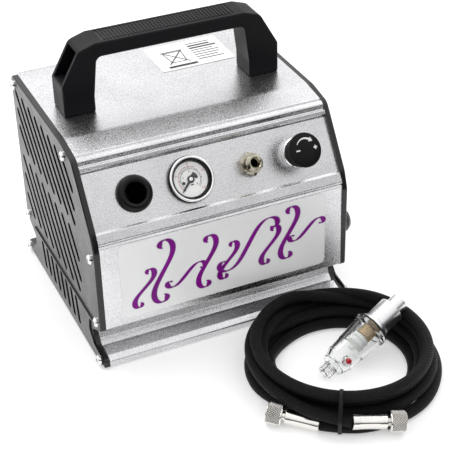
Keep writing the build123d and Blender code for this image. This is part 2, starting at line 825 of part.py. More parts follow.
# ---------------------------------------------------------------- electrics
def rear_frame(x, z):
    """Frame on the rear face: Z points out backwards and X towards -X of the object."""
    return Plane(origin=(x, REAR, z), x_dir=(-1, 0, 0), z_dir=(0, 1, 0)).location


def power_switch_bezel():
    body = Pos(0, 0, 0.8) * Box(23.0, 17.0, 1.5) + Pos(0, 0, -7.0) * Box(20.0, 14.0, 14.1)
    body -= Pos(0, 0, 0.0) * Box(17.0, 11.6, 12.0)
    return rear_frame(SWITCH_X, INLET_Z) * body


def power_rocker():
    """See-saw key, resting with its off side pressed in."""
    side = make_face(
        Polyline((-7.4, -3.4), (-7.4, 1.2), (-1.0, 0.6), (7.4, 3.6), (7.4, -1.4), (2, -4.4), close=True)
    )
    key = extrude(Plane.XZ * side, amount=5.4, both=True)
    return rear_frame(SWITCH_X, INLET_Z) * key


def power_inlet():
    """Two-pin appliance inlet."""
    body = Pos(0, 0, 0.8) * Box(26.0, 21.0, 1.5) + Pos(0, 0, -8.0) * Box(22.0, 17.0, 16.1)
    body -= Pos(0, 0, -4.0) * extrude(SlotOverall(15.4, 8.6), amount=12.0)
    for step in (-4.2, 4.2):
        body += Pos(step, 0, -3.0) * Cylinder(1.2, 8.0)
    return rear_frame(INLET_X, INLET_Z) * body


# ---------------------------------------------------------------- hose set on the bench
def fit_frame(ends, distance):
    """Frame on a hose fitting's axis, Z pointing away from the hose."""
    start, end = Vector(*ends[0]), Vector(*ends[1])
    direction = (end - start).normalized()
    return Plane(origin=start + direction * distance, z_dir=direction).location


def ferrule(ends):
    """Crimped sleeve and the neck that the nut turns on."""
    body = turned(
        [
            (0, 0),
            (4.6, 0),
            (4.9, 0.5),
            (4.9, FERRULE - 0.6),
            (4.5, FERRULE),
            (3.0, FERRULE),
            (3.0, FERRULE + 3.6),
            (2.2, FERRULE + 4.4),
            (1.3, FERRULE + 4.4),
            (1.3, 2.0),
            (0, 2.0),
        ]
    )
    return fit_frame(ends, 0) * body


def hose_nut(ends):
    """Loose knurled nut with an open threaded socket."""
    length = (Vector(*ends[1]) - Vector(*ends[0])).length
    frame = fit_frame(ends, length - NUT)
    nut = turned(
        [
            (3.1, 0),
            (6.4, 0),
            (6.9, 0.5),
            (6.9, NUT - 0.5),
            (6.4, NUT),
            (4.9, NUT),
            (4.9, 3.0),
            (3.1, 3.0),
        ]
    )
    return frame * nut


def tie_frame():
    """Middle of the bundle where the strap goes round it: X outwards, Y along the hose."""
    middle = (COIL_INNER + COIL_OUTER) / 2
    x = COIL_CENTRE[0] + middle * math.cos(math.radians(TIE_ANGLE))
    y = COIL_CENTRE[1] + middle * math.sin(math.radians(TIE_ANGLE))
    return Pos(x, y, COIL_HEIGHT / 2 + TIE_THICK) * Rot(0, 0, TIE_ANGLE)


def hose_coil():
    """Outer shape of the wound hose, cleared round the two end fittings and the strap."""
    ring = turned(
        [
            (COIL_INNER, 7.0),
            (COIL_INNER, 15.0),
            (COIL_INNER + 8.0, COIL_HEIGHT),
            (COIL_OUTER - 3.0, COIL_HEIGHT),
            (COIL_OUTER, 20.0),
            (COIL_OUTER, 0.0),
            (COIL_INNER + 4.5, 0.0),
        ]
    )
    coil = Pos(*COIL_CENTRE, 0) * ring
    for ends in (LEFT_FIT, RIGHT_FIT):
        length = (Vector(*ends[1]) - Vector(*ends[0])).length
        coil -= fit_frame(ends, length / 2) * Cylinder(5.3, length + 8.0)
        coil -= fit_frame(ends, length - NUT / 2) * Cylinder(7.8, NUT + 5.0)
    under = Box(COIL_OUTER - COIL_INNER + 6.0, TIE_WIDTH + 1.0, TIE_THICK + 0.5)
    return coil - tie_frame() * Pos(0, 0, -COIL_HEIGHT / 2 - TIE_THICK / 2) * under


def hose_tie():
    """Thin strap round the bundle at the front of the coil."""
    width = COIL_OUTER - COIL_INNER + 0.2
    height = COIL_HEIGHT + 0.2
    band = Box(width + 2 * TIE_THICK, TIE_WIDTH, height + 2 * TIE_THICK)
    return tie_frame() * (band - Box(width, TIE_WIDTH + 2.0, height))


# ---------------------------------------------------------------- moisture trap
def trap_frame(distance):
    """Frame on the trap's axis, Z pointing from the cap to the bowl's end, X upwards."""
    start, end = Vector(*TRAP_START), Vector(*TRAP_END)
    direction = (end - start).normalized()
    sideways = direction.cross(Vector(0, 0, 1)).normalized()
    return Plane(
        origin=start + direction * distance, x_dir=sideways.cross(direction), z_dir=direction
    ).location


def trap_cap():
    body = turned(
        [
            (4.9, 0),
            (5.7, 0),
            (6.0, 0.4),
            (6.0, 9.8),
            (8.5, 10.4),
            (8.8, 11.0),
            (8.8, 24.0),
            (10.2, 24.0),
            (10.2, 26.0),
            (3.4, 26.0),
            (3.4, 22.0),
            (1.9, 22.0),
            (1.9, 9.0),
            (4.9, 9.0),
        ]
    )
    return trap_frame(0) * body


def trap_seal():
    return trap_frame(26.0) * Pos(0, 0, 0.75) * (Cylinder(12.0, 1.4) - Cylinder(9.0, 4))


def trap_bowl():
    """Clear bowl with a flange, a tapering wall and an outside thread at its end."""
    body = turned(
        [
            (12.5, 27.6),
            (12.5, 30.2),
            (11.4, 31.0),
            (9.9, 57.5),
            (8.6, 62.0),
            (6.6, 64.6),
            (4.86, 65.0),
            (4.86, 71.3),
            (4.4, 71.8),
            (1.9, 71.8),
            (1.9, 63.0),
            (6.4, 61.0),
            (8.2, 56.0),
            (9.4, 31.0),
            (9.4, 27.6),
        ]
    )
    body = trap_frame(0) * body
    socket = trap_frame(DRAIN_AT) * Rot(0, 0, DRAIN_TURN) * Pos(9.2, 0, 0) * Rot(0, 90, 0)
    body += socket * Cylinder(3.3, 5.0)
    return body - socket * Cylinder(1.95, 9.0)


def drain_button():
    """Red push pin that lets the water out."""
    frame = trap_frame(DRAIN_AT) * Rot(0, 0, DRAIN_TURN) * Pos(9.2, 0, 0) * Rot(0, 90, 0)
    return frame * (Pos(0, 0, 0.9) * Cylinder(1.85, 5.4))


def trap_element():
    """Sintered bronze filter body."""
    body = Pos(0, 0, 31.6) * Cylinder(5.4, 11.0) - Pos(0, 0, 30.0) * Cylinder(3.3, 12.0)
    return trap_frame(0) * body


def trap_baffle():
    body = turned([(0, 37.3), (7.4, 38.2), (7.0, 45.0), (3.0, 46.6), (0, 46.6)])
    return trap_frame(0) * body


# ---------------------------------------------------------------- write every node
save("housing_shell", housing_shell())
save("rear_cover", rear_cover())
save("base_plate", base_plate())
save("side_plate_left", side_plate(-1))
save("side_plate_right", side_plate(1))
save_group("side_screws", side_screws(-1) + side_screws(1))
save_group("rubber_feet", rubber_feet())
save_group("foot_screws", foot_screws())
save("handle", handle())
save("handle_grip", handle_grip())
save_group("handle_screws", handle_screws())
save("front_label", front_label())
save("top_label", top_label())

save("airbrush_holder", airbrush_holder())
save("gauge_case", gauge_case())
save("gauge_bezel", gauge_bezel())
save("gauge_dial", gauge_dial())
save("gauge_needle", gauge_needle())
save("gauge_lens", gauge_lens())
save("gauge_movement", gauge_movement())
save("outlet_fitting", outlet_fitting())
save_group("panel_locknuts", [airbrush_holder_nut(), outlet_locknut()])
save("regulator_body", regulator_body())
save("regulator_collar", regulator_collar())
save("regulator_knob", regulator_knob())
save("regulator_stem", regulator_stem())
save("regulator_spring", regulator_spring())
save("regulator_diaphragm", regulator_diaphragm())
save("air_manifold", air_manifold())
save("pressure_switch", pressure_switch())

save("motor_can", motor_can())
save_group("motor_end_caps", motor_end_caps())
save_group("motor_bearings", motor_bearings())
save_group("stator", [stator_core()] + stator_windings())
save("motor_rotor", motor_rotor())
save("cooling_fan", cooling_fan())
save("crank_web", crank_web())
save("connecting_rod", connecting_rod())
save("piston", piston())
save("crankcase", crankcase())
save("cylinder_barrel", cylinder_barrel())
save("valve_plate", valve_plate())
save("cylinder_head", cylinder_head())
save("motor_cradle", motor_cradle())
save_group("rubber_isolators", rubber_isolators())
save("delivery_pipe", delivery_pipe())
save("intake_pipe", intake_pipe())
save("intake_filter", intake_filter())
save("power_switch_bezel", power_switch_bezel())
save("power_rocker", power_rocker())
save("power_inlet", power_inlet())

save_group("hose_ferrules", [ferrule(LEFT_FIT), ferrule(RIGHT_FIT)], lift=0)
save("hose_nut_left", hose_nut(LEFT_FIT), lift=0)
save("hose_nut_right", hose_nut(RIGHT_FIT), lift=0)
save("hose_coil", hose_coil(), lift=0)
save("hose_tie", hose_tie(), lift=0)
save("trap_cap", trap_cap(), lift=0)
save("trap_bowl", trap_bowl(), lift=0)
save_group("trap_filter", [trap_element(), trap_baffle(), trap_seal()], lift=0)
save("drain_button", drain_button(), lift=0)
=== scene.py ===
"""Looks of a desk-top airbrush compressor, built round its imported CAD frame.

Controls, hose ends and the trap are placed by the record's mounts and joints, and the labels and
grip by their nodes' boxes.  The hose's route and all profiles are stated here.  Lengths are
millimetres unless a comment says metres, and the matrices turn them into metres.
"""
import json
import random
from math import cos, hypot, pi, radians, sin

import bmesh
import bpy
from mathutils import Matrix, Vector


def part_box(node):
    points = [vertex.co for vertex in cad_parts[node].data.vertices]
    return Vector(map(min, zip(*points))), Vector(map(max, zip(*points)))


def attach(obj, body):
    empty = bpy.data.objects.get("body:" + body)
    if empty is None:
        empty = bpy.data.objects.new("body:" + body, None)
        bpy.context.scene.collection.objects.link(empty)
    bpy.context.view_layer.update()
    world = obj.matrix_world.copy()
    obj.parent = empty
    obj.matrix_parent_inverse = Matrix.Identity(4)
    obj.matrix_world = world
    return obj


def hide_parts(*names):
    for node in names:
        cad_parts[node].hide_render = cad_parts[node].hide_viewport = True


MM = 0.001
TAU = 2 * pi

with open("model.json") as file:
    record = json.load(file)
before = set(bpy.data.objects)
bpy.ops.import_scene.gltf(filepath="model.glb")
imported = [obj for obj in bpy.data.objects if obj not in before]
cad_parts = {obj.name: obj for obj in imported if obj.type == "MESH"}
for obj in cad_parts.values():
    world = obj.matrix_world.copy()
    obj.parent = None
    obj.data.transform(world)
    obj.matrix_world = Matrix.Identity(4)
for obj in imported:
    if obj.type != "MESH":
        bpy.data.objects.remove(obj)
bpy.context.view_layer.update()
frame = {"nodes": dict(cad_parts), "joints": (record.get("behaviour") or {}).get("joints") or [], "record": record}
RECORD = frame["record"]
NODES = frame["nodes"]
MOUNTS = {m["name"]: m for m in RECORD["mounts"]}
JOINTS = {j["name"]: j for j in frame["joints"]}


def add_object(name, data):
    made = bpy.data.objects.new(name, data)
    bpy.context.scene.collection.objects.link(made)
    return made


# ---- camera
CAMERA_AT = (-284.3, -730.4, 551.6)
CAMERA_TURN = radians(24.01)      # from +Y towards +X
CAMERA_DIP = radians(33.61)
CAMERA_ROLL = radians(-1.186)
CAMERA_LENS = 101.9


def place_camera():
    turn, dip = CAMERA_TURN, CAMERA_DIP
    forward = Vector((sin(turn) * cos(dip), cos(turn) * cos(dip), -sin(dip)))
    level = Vector((cos(turn), -sin(turn), 0))
    above = level.cross(forward)
    right = cos(CAMERA_ROLL) * level + sin(CAMERA_ROLL) * above
    up = -sin(CAMERA_ROLL) * level + cos(CAMERA_ROLL) * above
    data = bpy.data.cameras.new("camera")
    data.lens = CAMERA_LENS
    data.sensor_width = 36.0
    data.clip_start = 0.02
    camera = add_object("camera", data)
    rotation = Matrix((right, up, -forward)).transposed()
    camera.matrix_world = Matrix.Translation(Vector(CAMERA_AT) * MM) @ rotation.to_4x4()
    bpy.context.scene.camera = camera


place_camera()


# ---- node helpers
def new_material(name):
    material = bpy.data.materials.new(name)
    material.use_nodes = True
    shader = material.node_tree.nodes["Principled BSDF"]
    return material, material.node_tree, shader


def set_values(node, **values):
    """Set a node's inputs by name, or link them where the value is another node's output."""
    for word, value in values.items():
        socket = node.inputs[word.replace("_", " ").title().replace("Ior", "IOR")]
        if isinstance(value, bpy.types.NodeSocket):
            node.id_data.links.new(value, socket)
        elif isinstance(value, tuple) and len(socket.default_value) == 4:
            socket.default_value = (*value, 1.0)
        else:
            socket.default_value = value


def math_node(tree, operation, first, second=None):
    node = tree.nodes.new("ShaderNodeMath")
    node.operation = operation
    for socket, value in zip(node.inputs, (first, second)):
        if value is None:
            continue
        if isinstance(value, (int, float)):
            socket.default_value = value
        else:
            tree.links.new(value, socket)
    return node.outputs[0]


def noise(tree, scale, detail=2.0, rough=0.5, stretch=None):
    """Noise in the part's own frame; scale is in cells per metre."""
    place = tree.nodes.new("ShaderNodeTexCoord").outputs["Object"]
    if stretch:
        mapping = tree.nodes.new("ShaderNodeMapping")
        set_values(mapping, scale=stretch, vector=place)
        place = mapping.outputs[0]
    node = tree.nodes.new("ShaderNodeTexNoise")
    set_values(node, vector=place, scale=scale, detail=detail, roughness=rough)
    return node.outputs["Fac"]


def spread(tree, factor, low, high, start=0.3, end=0.7):
    """Map a factor on to a range of values."""
    node = tree.nodes.new("ShaderNodeMapRange")
    set_values(node, value=factor, from_min=start, from_max=end, to_min=low, to_max=high)
    return node.outputs[0]


def tint(tree, factor, dark, light, start=0.3, end=0.7):
    """Map a factor on to a range of colours."""
    node = tree.nodes.new("ShaderNodeValToRGB")
    for stop, position, colour in zip(node.color_ramp.elements, (start, end), (dark, light)):
        stop.position = position
        stop.color = (*colour, 1)
    set_values(node, fac=factor)
    return node.outputs["Color"]


def bump(tree, shader, height, depth):
    """Bump of a height field, whose full range is depth metres."""
    node = tree.nodes.new("ShaderNodeBump")
    set_values(node, strength=1.0, distance=depth, height=height)
    set_values(shader, normal=node.outputs[0])


def scaled(colour, by):
    return tuple(min(1.0, c * by) for c in colour)


# ---- materials
def blasted(name, colour, roughness, grain, depth, contrast=0.10):
    """Sand-blasted or cast metal: bright grain over slow patches."""
    material, tree, shader = new_material(name)
    fine = noise(tree, 1 / grain, 1.5, 0.6)
    slow = noise(tree, 28.0, 2.0)
    mixed = math_node(tree, "ADD", fine, math_node(tree, "MULTIPLY", slow, 0.3))
    light = tint(tree, mixed, scaled(colour, 1 - contrast), scaled(colour, 1 + contrast), 0.42, 0.88)
    rough = spread(tree, fine, roughness - 0.06, roughness + 0.08)
    set_values(shader, base_color=light, metallic=1.0, roughness=rough)
    bump(tree, shader, fine, depth)
    return material


def moulded(name, colour, roughness, grain=0.0006, depth=0.00003, patch=0.18, **extra):
    """Moulded plastic or rubber with a fine spark-eroded texture and faint wear."""
    material, tree, shader = new_material(name)
    fine = noise(tree, 1 / grain, 2.0)
    wear = noise(tree, 60.0, 4.0, 0.6)
    worn = tint(tree, wear, scaled(colour, 1 - patch), scaled(colour, 1 + patch))
    rough = spread(tree, wear, roughness - 0.3 * patch, roughness + 0.4 * patch)
    set_values(shader, base_color=worn, roughness=rough, **extra)
    bump(tree, shader, fine, depth)
    return material


def polished(name, colour, roughness, stretch=(1, 1, 1), depth=0.000004):
    """Plated or turned metal: faint smears and turning marks."""
    material, tree, shader = new_material(name)
    smear = noise(tree, 140.0, 3.0, 0.6)
    marks = noise(tree, 900.0, 2.0, 0.5, stretch)
    smeared = tint(tree, smear, scaled(colour, 0.92), colour)
    rough = spread(tree, smear, roughness * 0.75, roughness * 1.4)
    set_values(shader, base_color=smeared, metallic=1.0, roughness=rough)
    bump(tree, shader, marks, depth)
    return material


def clear(name, colour, roughness, ior, shade):
    """Clear moulding or glass; lamps reach what is behind it, dimmed by shade."""
    material, tree, shader = new_material(name)
    rough = spread(tree, noise(tree, 240.0, 3.0), roughness * 0.5, roughness * 1.5)
    set_values(shader, base_color=colour, ior=ior, transmission_weight=1.0, roughness=rough)
    bump(tree, shader, noise(tree, 130.0, 1.0), 0.00004)
    through = tree.nodes.new("ShaderNodeBsdfTransparent")
    set_values(through, color=(shade, shade, shade))
    ray = tree.nodes.new("ShaderNodeLightPath")
    mix = tree.nodes.new("ShaderNodeMixShader")
    tree.links.new(ray.outputs["Is Shadow Ray"], mix.inputs[0])
    tree.links.new(shader.outputs[0], mix.inputs[1])
    tree.links.new(through.outputs[0], mix.inputs[2])
    tree.links.new(mix.outputs[0], tree.nodes["Material Output"].inputs["Surface"])
    return material


def braided(name):
    """Black woven braid: two crossing sets of strands, laid on by the hose's own UV map."""
    material, tree, shader = new_material(name)
    coordinates = tree.nodes.new("ShaderNodeUVMap")
    coordinates.uv_map = HOSE_UV
    split = tree.nodes.new("ShaderNodeSeparateXYZ")
    set_values(split, vector=coordinates.outputs[0])
    along = math_node(tree, "MULTIPLY", split.outputs[0], 1.0 / BRAID_STEP)
    around = math_node(tree, "MULTIPLY", split.outputs[1], float(BRAID_STRANDS))
    waves = []
    for operation in ("ADD", "SUBTRACT"):
        phase = math_node(tree, operation, around, along)
        waves.append(math_node(tree, "SINE", math_node(tree, "MULTIPLY", phase, TAU / 2)))
    weave = math_node(tree, "MULTIPLY", waves[0], waves[1])
    height = math_node(tree, "POWER", math_node(tree, "ABSOLUTE", weave), 0.6)
    # base colour darker in the gaps of the weave than on its crowns: painted shade between the strands
    dark = tint(tree, height, (0.0004, 0.0004, 0.0005), (0.008, 0.008, 0.009), 0.50, 1.0)
    rough = spread(tree, height, 0.85, 0.22, 0.40, 1.0)
    set_values(shader, base_color=dark, roughness=rough, specular_ior_level=0.24)
    bump(tree, shader, height, 0.00080)
    return material


def sintered(name):
    """Porous bronze, made of fused beads."""
    material, tree, shader = new_material(name)
    grain = noise(tree, 1500.0, 3.0, 0.7)
    bronze = tint(tree, grain, (0.20, 0.12, 0.05), (0.72, 0.52, 0.27), 0.35, 0.65)
    set_values(shader, base_color=bronze, metallic=0.7, roughness=0.5)
    bump(tree, shader, grain, 0.0002)
    return material


HOSE_UV = "along_and_around"
HOSE_R = 3.7                          # outside radius of the braid
BRAID_STRANDS = 12                    # diamonds round the hose
BRAID_STEP = 0.0016                   # metres of hose for one diamond

MATERIALS = {}


def stock(make, name, *values, **extra):
    """Make the material of a slot."""
    MATERIALS[name] = make(name, *values, **extra)


# moulded: colour, roughness, grain and its depth in metres, patchiness
stock(moulded, "base_steel", (0.035, 0.035, 0.037), 0.45)
stock(moulded, "black_plate", (0.007, 0.007, 0.0075), 0.27, 0.0011, 0.00006, specular_ior_level=0.5)
stock(moulded, "black_rubber", (0.014, 0.014, 0.014), 0.7, 0.0004, 0.00005)
stock(moulded, "handle_black", (0.0045, 0.0045, 0.0062), 0.45, 0.0005, 0.000035, specular_ior_level=0.16)
stock(moulded, "grip_black", (0.010, 0.010, 0.012), 0.5, 0.0004, 0.00004, specular_ior_level=0.4)
stock(
    moulded, "printed_label", (0.97, 0.97, 0.975), 0.28, 0.0009, 0.000008, 0.015,
    coat_weight=0.5, coat_roughness=0.08,
)
stock(moulded, "holder_black", (0.003, 0.003, 0.0035), 0.32, 0.0005, 0.00002, specular_ior_level=0.22)
# the dial's faint emission is a painted glow; the dial gives no light of its own
stock(
    moulded, "dial_white", (0.97, 0.97, 0.96), 0.5, 0.0006, 0.000005, 0.01,
    emission_color=(1, 1, 1), emission_strength=0.10,
)
stock(moulded, "needle_black", (0.010, 0.010, 0.010), 0.4, 0.0006, 0.000005)
stock(moulded, "knob_black", (0.0045, 0.0045, 0.0052), 0.42, 0.0005, 0.00003, specular_ior_level=0.18)
stock(moulded, "switch_plastic", (0.018, 0.018, 0.018), 0.38)
stock(moulded, "fan_plastic", (0.03, 0.03, 0.035), 0.45)
stock(moulded, "filter_grey", (0.030, 0.031, 0.034), 0.40, 0.0006, 0.00003)
stock(moulded, "black_tie", (0.006, 0.006, 0.006), 0.36, 0.0004, 0.00002, specular_ior_level=0.3)
stock(moulded, "red_button", (0.52, 0.005, 0.02), 0.25, 0.0006, 0.00001, coat_weight=0.5)
# blasted: colour, roughness, grain and its depth in metres, contrast
stock(blasted, "blasted_aluminium", (0.69, 0.69, 0.705), 0.27, 0.00062, 0.00011, 0.26)
stock(blasted, "cast_aluminium", (0.58, 0.58, 0.59), 0.45, 0.0009, 0.00008)
stock(blasted, "satin_aluminium", (0.80, 0.80, 0.81), 0.30, 0.0005, 0.000006, 0.03)
# polished: colour, roughness
stock(polished, "bright_screw", (0.86, 0.86, 0.87), 0.12)
stock(polished, "zinc_steel", (0.55, 0.56, 0.58), 0.28)
stock(polished, "chrome_ring", (0.93, 0.93, 0.94), 0.16)
stock(polished, "brass", (0.78, 0.58, 0.28), 0.22)
stock(polished, "nickel_brass", (0.42, 0.395, 0.32), 0.13)
stock(polished, "copper_winding", (0.70, 0.33, 0.16), 0.30, (6, 1, 1))
stock(polished, "polished_nickel", (0.84, 0.82, 0.79), 0.13)
# clear: colour, roughness, index of refraction, light let through
stock(clear, "clear_glass", (1.0, 1.0, 1.0), 0.005, 1.30, 1.0)
stock(clear, "clear_bowl", (0.98, 0.99, 0.985), 0.02, 1.49, 0.80)
stock(braided, "braided_hose")
stock(sintered, "sintered_bronze")

# looks that are not a slot of the record
PRINT = (0.0007, 0.000005)            # metres: grain of a printed face and its depth
INK_PURPLE = moulded("ink_purple", (0.215, 0.001, 0.245), 0.32, *PRINT, specular_ior_level=0.2)
INK_BLACK = moulded("ink_black", (0.012, 0.012, 0.012), 0.45, *PRINT)
INK_RED = moulded("ink_red", (0.50, 0.02, 0.04), 0.45, *PRINT)
INK_WHITE = moulded("ink_white", (0.86, 0.86, 0.86), 0.45, *PRINT)
# darker nickel for the knurl's grooves: painted shade
KNURL_PAINTED_SHADE = polished("knurl_painted_shade", (0.16, 0.155, 0.14), 0.35)
SCALE_GREY = moulded("scale_grey", (0.10, 0.10, 0.105), 0.45, *PRINT)
WHITE_PLASTIC = moulded("white_plastic", (0.80, 0.80, 0.79), 0.30, *PRINT, subsurface_weight=0.1)

for part in RECORD["subparts"]:
    node = NODES[part["node"]]
    node.data.materials.clear()
    node.data.materials.append(MATERIALS[part["material_slot"]])


# ---- mesh helpers
def piece(name, verts, faces, look, matrix, body="housing", slot=None, sharp=35.0, uv=None):
    """A mesh from millimetre points in the matrix's frame, riding on a body.

    look is a material, or the name of a slot whose material it takes. The slot argument is not used.
    """
    if isinstance(look, str):
        slot = slot or look
        look = MATERIALS[look]
    mesh = bpy.data.meshes.new(name)
    mesh.from_pydata([matrix @ (Vector(v) * MM) for v in verts], [], faces)
    if uv:
        layer = mesh.uv_layers.new(name=HOSE_UV)
        for loop in mesh.loops:
            layer.data[loop.index].uv = uv(loop)
    clean = bmesh.new()
    clean.from_mesh(mesh)
    bmesh.ops.recalc_face_normals(clean, faces=clean.faces)
    clean.to_mesh(mesh)
    clean.free()
    mesh.materials.append(look)
    mesh.shade_smooth()
    mesh.set_sharp_from_angle(angle=radians(sharp))
    made = add_object(name, mesh)
    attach(made, body)
    return made


def axes_frame(origin, z_axis, x_axis):
    """Matrix whose Z is z_axis and whose X lies as near x_axis as it can."""
    z = Vector(z_axis).normalized()
    y = z.cross(Vector(x_axis)).normalized()
    x = y.cross(z)
    turn = Matrix((x, y, z)).transposed()
    return Matrix.Translation(Vector(origin)) @ turn.to_4x4()


def rounded(corners, steps=5):
    """Profile points from (radius, height, round) corners, each round cut back along both edges."""
    points = []
    count = len(corners)
    for index, (u, v, cut) in enumerate(corners):
        here = Vector((u, v))
        if cut == 0:
            points.append((u, v))
            continue
        before = Vector(corners[(index - 1) % count][:2])
        after = Vector(corners[(index + 1) % count][:2])
        start = here + (before - here).normalized() * min(cut, (before - here).length * 0.49)
        end = here + (after - here).normalized() * min(cut, (after - here).length * 0.49)
        for step in range(steps + 1):
            t = step / steps
            at = start * (1 - t) ** 2 + here * 2 * t * (1 - t) + end * t * t
            points.append((at.x, at.y))
    return points


def lathe(profile, segments=72, loop=False, shift=None):
    """Points and faces of a profile turned about Z; shift(angle, radius, height) moves a radius."""
    verts = []
    rings = []
    for radius, height in profile:
        if radius < 1e-6:
            rings.append([len(verts)] * segments)
            verts.append((0, 0, height))
            continue
        rings.append([len(verts) + k for k in range(segments)])
        for k in range(segments):
            angle = TAU * k / segments
            r = radius + (shift(angle, radius, height) if shift else 0.0)
            verts.append((r * cos(angle), r * sin(angle), height))
    faces = []
    pairs = list(zip(rings, rings[1:])) + ([(rings[-1], rings[0])] if loop else [])
    for low, high in pairs:
        for k in range(segments):
            n = (k + 1) % segments
            corners = []
            for vertex in (low[k], low[n], high[n], high[k]):
                if vertex not in corners:
                    corners.append(vertex)
            if len(corners) > 2:
                faces.append(corners)
    return verts, faces


def steps_between(radius, start, end, step):
    """Evenly spaced (radius, height) points from start to end."""
    count = max(1, round(abs(end - start) / step))
    return [(radius, start + (end - start) * k / count) for k in range(count + 1)]


def wave(value):
    """1 on whole numbers, falling evenly to 0 half way between."""
    return abs((value % 1.0) - 0.5) * 2


def thread_cut(pitch, depth, start, end, band=(0.0, 100.0)):
    """Screw thread between two heights, fading out at its ends, on radii inside the band."""

    def shift(angle, radius, height):
        if not band[0] < radius < band[1]:
            return 0.0
        inside = min(height - start, end - height) / (0.5 * pitch)
        fade = max(0.0, min(1.0, inside + 0.5))
        return -depth * fade * wave(height / pitch - angle / TAU)

    return shift


def heading(points, index):
    """Direction of a line at one of its points, from its neighbours."""
    return (points[min(index + 1, len(points) - 1)] - points[max(index - 1, 0)]).normalized()


def strip(points, widths, lift):
    """Flat ribbon on the local XY plane through 2-D points, with its own width at each."""
    verts = []
    places = [Vector(point) for point in points]
    for index, here in enumerate(places):
        along = heading(places, index)
        across = Vector((-along.y, along.x)) * widths[index] / 2
        for side in (1, -1):
            at = here + across * side
            verts.append((at.x, at.y, lift))
    faces = [(2 * k, 2 * k + 1, 2 * k + 3, 2 * k + 2) for k in range(len(points) - 1)]
    return verts, faces


def joined(parts):
    """One list of points and faces from several."""
    verts = []
    faces = []
    for more_verts, more_faces in parts:
        start = len(verts)
        verts.extend(more_verts)
        faces.extend([[start + k for k in face] for face in more_faces])
    return verts, faces


def moved(part, matrix):
    return [tuple(matrix @ Vector(v)) for v in part[0]], part[1]


def ring_faces(low, high, around):
    """Faces between two rings of points that start at low and high."""
    faces = []
    for k in range(around):
        n = (k + 1) % around
        faces.append((low + k, low + n, high + n, high + k))
    return faces


def solid_block(x0, x1, y0, y1, z0, z1, cut):
    """Block with a bevelled top edge."""
    verts = []
    for z, inset in ((z0, 0.0), (z1 - cut, 0.0), (z1, cut)):
        for x, y in ((x0, y0), (x1, y0), (x1, y1), (x0, y1)):
            sx = inset if x == x0 else -inset
            sy = inset if y == y0 else -inset
            verts.append((x + sx, y + sy, z))
    faces = [(0, 1, 2, 3), (8, 9, 10, 11)]
    return verts, faces + ring_faces(0, 4, 4) + ring_faces(4, 8, 4)


# ---- hose
def hose_end(side):
    """Place, in metres, and outward direction of the mount in a hose nut."""
    mount = MOUNTS[f"hose_socket_{side}"]
    return Vector(mount["pos_m"]), Vector(mount["axis"])


COIL_CENTRE = Vector((51.0, -147.0))
# radius and height of each place where the hose lies, in a bundle four layers high
SLOTS = [(60.2, 3.75), (52.0, 3.75), (44.6, 3.75), (48.4, 10.6), (56.2, 10.6), (52.4, 17.4)]
SLOTS += [(56.2, 24.2), (60.0, 17.4)]
TURNS = len(SLOTS) - 1      # half a turn in the first place and half in the last
LEAN = 3.6                  # the top strand leans in this much below the trap
LEAN_AT = 12.0              # degrees
LEAN_FROM = 17.0            # height at which the lean begins
LEAN_OVER = 5.0             # height over which it grows to the whole
WANDER = [(0.35, 0.83), (0.25, 2.1)]    # the hose strays this far, in waves of this many a turn
PRESSED = 0.085             # the trap presses the bundle down by this share
COIL_BACK = 1.4             # the wound turns lie this far behind the two loose ends
CROSS_AT = 190.0            # degrees at which the hose first moves to the next place
CROSS_BACK = 22.0           # each later move comes this much sooner in its turn
CROSS_HALF = 20.0
TURN_STEP = 20.0            # degrees between route points
ROUTE_OUT = 1.0154          # the spline runs this much inside its points
# degrees, radius and height of the points at each loose end
FIRST_TAIL = [(227.4, 61.2, 5.1), (243.0, 60.0, 4.0), (260.0, 59.4, 3.8), (280.0, 59.4, 3.8)]
FIRST_TAIL += [(300.0, 59.6, 3.8)]
LAST_TAIL = [(196.0, 60.6, 17.2), (212.0, 61.0, 16.0), (228.0, 62.0, 13.8), (245.5, 63.0, 11.3)]


def smooth_step(t):
    t = max(0.0, min(1.0, t))
    return t * t * (3 - 2 * t)


def slot_place(total):
    """Radius and height of the wound hose after total degrees from angle 0 of its first turn."""
    radius, height = SLOTS[0]
    for k in range(len(SLOTS) - 1):
        centre = CROSS_AT + (360.0 - CROSS_BACK) * k
        t = smooth_step((total - centre + CROSS_HALF) / (2 * CROSS_HALF))
        next_radius, next_height = SLOTS[k + 1]
        if t > 0:
            low_radius, low_height = SLOTS[k]
            radius = low_radius + (next_radius - low_radius) * t
            height = low_height + (next_height - low_height) * t
    return radius, height


def hose_route():
    """Route points of the whole hose, in millimetres."""
    polar = list(FIRST_TAIL)
    total = FIRST_TAIL[-1][0] + TURN_STEP
    last = 360.0 * TURNS + 180.0
    while total <= last + 1e-6:
        radius, height = slot_place(total - 360.0)
        for wander, rate in WANDER:
            radius += wander * sin(radians(total * rate))
        side = max(0.0, cos(radians(total - LEAN_AT)))
        radius -= LEAN * side * smooth_step((height - LEAN_FROM) / LEAN_OVER)
        height -= PRESSED * side * (height - SLOTS[0][1])
        polar.append((total, radius, height))
        total += TURN_STEP
    polar.extend((angle + 360.0 * TURNS, radius, height) for angle, radius, height in LAST_TAIL)
    points = []
    for index, (angle, radius, height) in enumerate(polar):
        out = 1.0 if index in (0, len(polar) - 1) else ROUTE_OUT
        turn = radians(angle)
        x = COIL_CENTRE.x + radius * out * cos(turn)
        y = COIL_CENTRE.y + radius * out * sin(turn)
        if len(FIRST_TAIL) <= index < len(polar) - len(LAST_TAIL):
            y += COIL_BACK
        points.append(Vector((x, y, height)))
    return points


def curve_mesh(name, data):
    """Mesh of a curve or text, evaluated and let go."""
    holder = add_object(name, data)
    mesh = bpy.data.meshes.new_from_object(holder)
    bpy.data.objects.remove(holder)
    return mesh


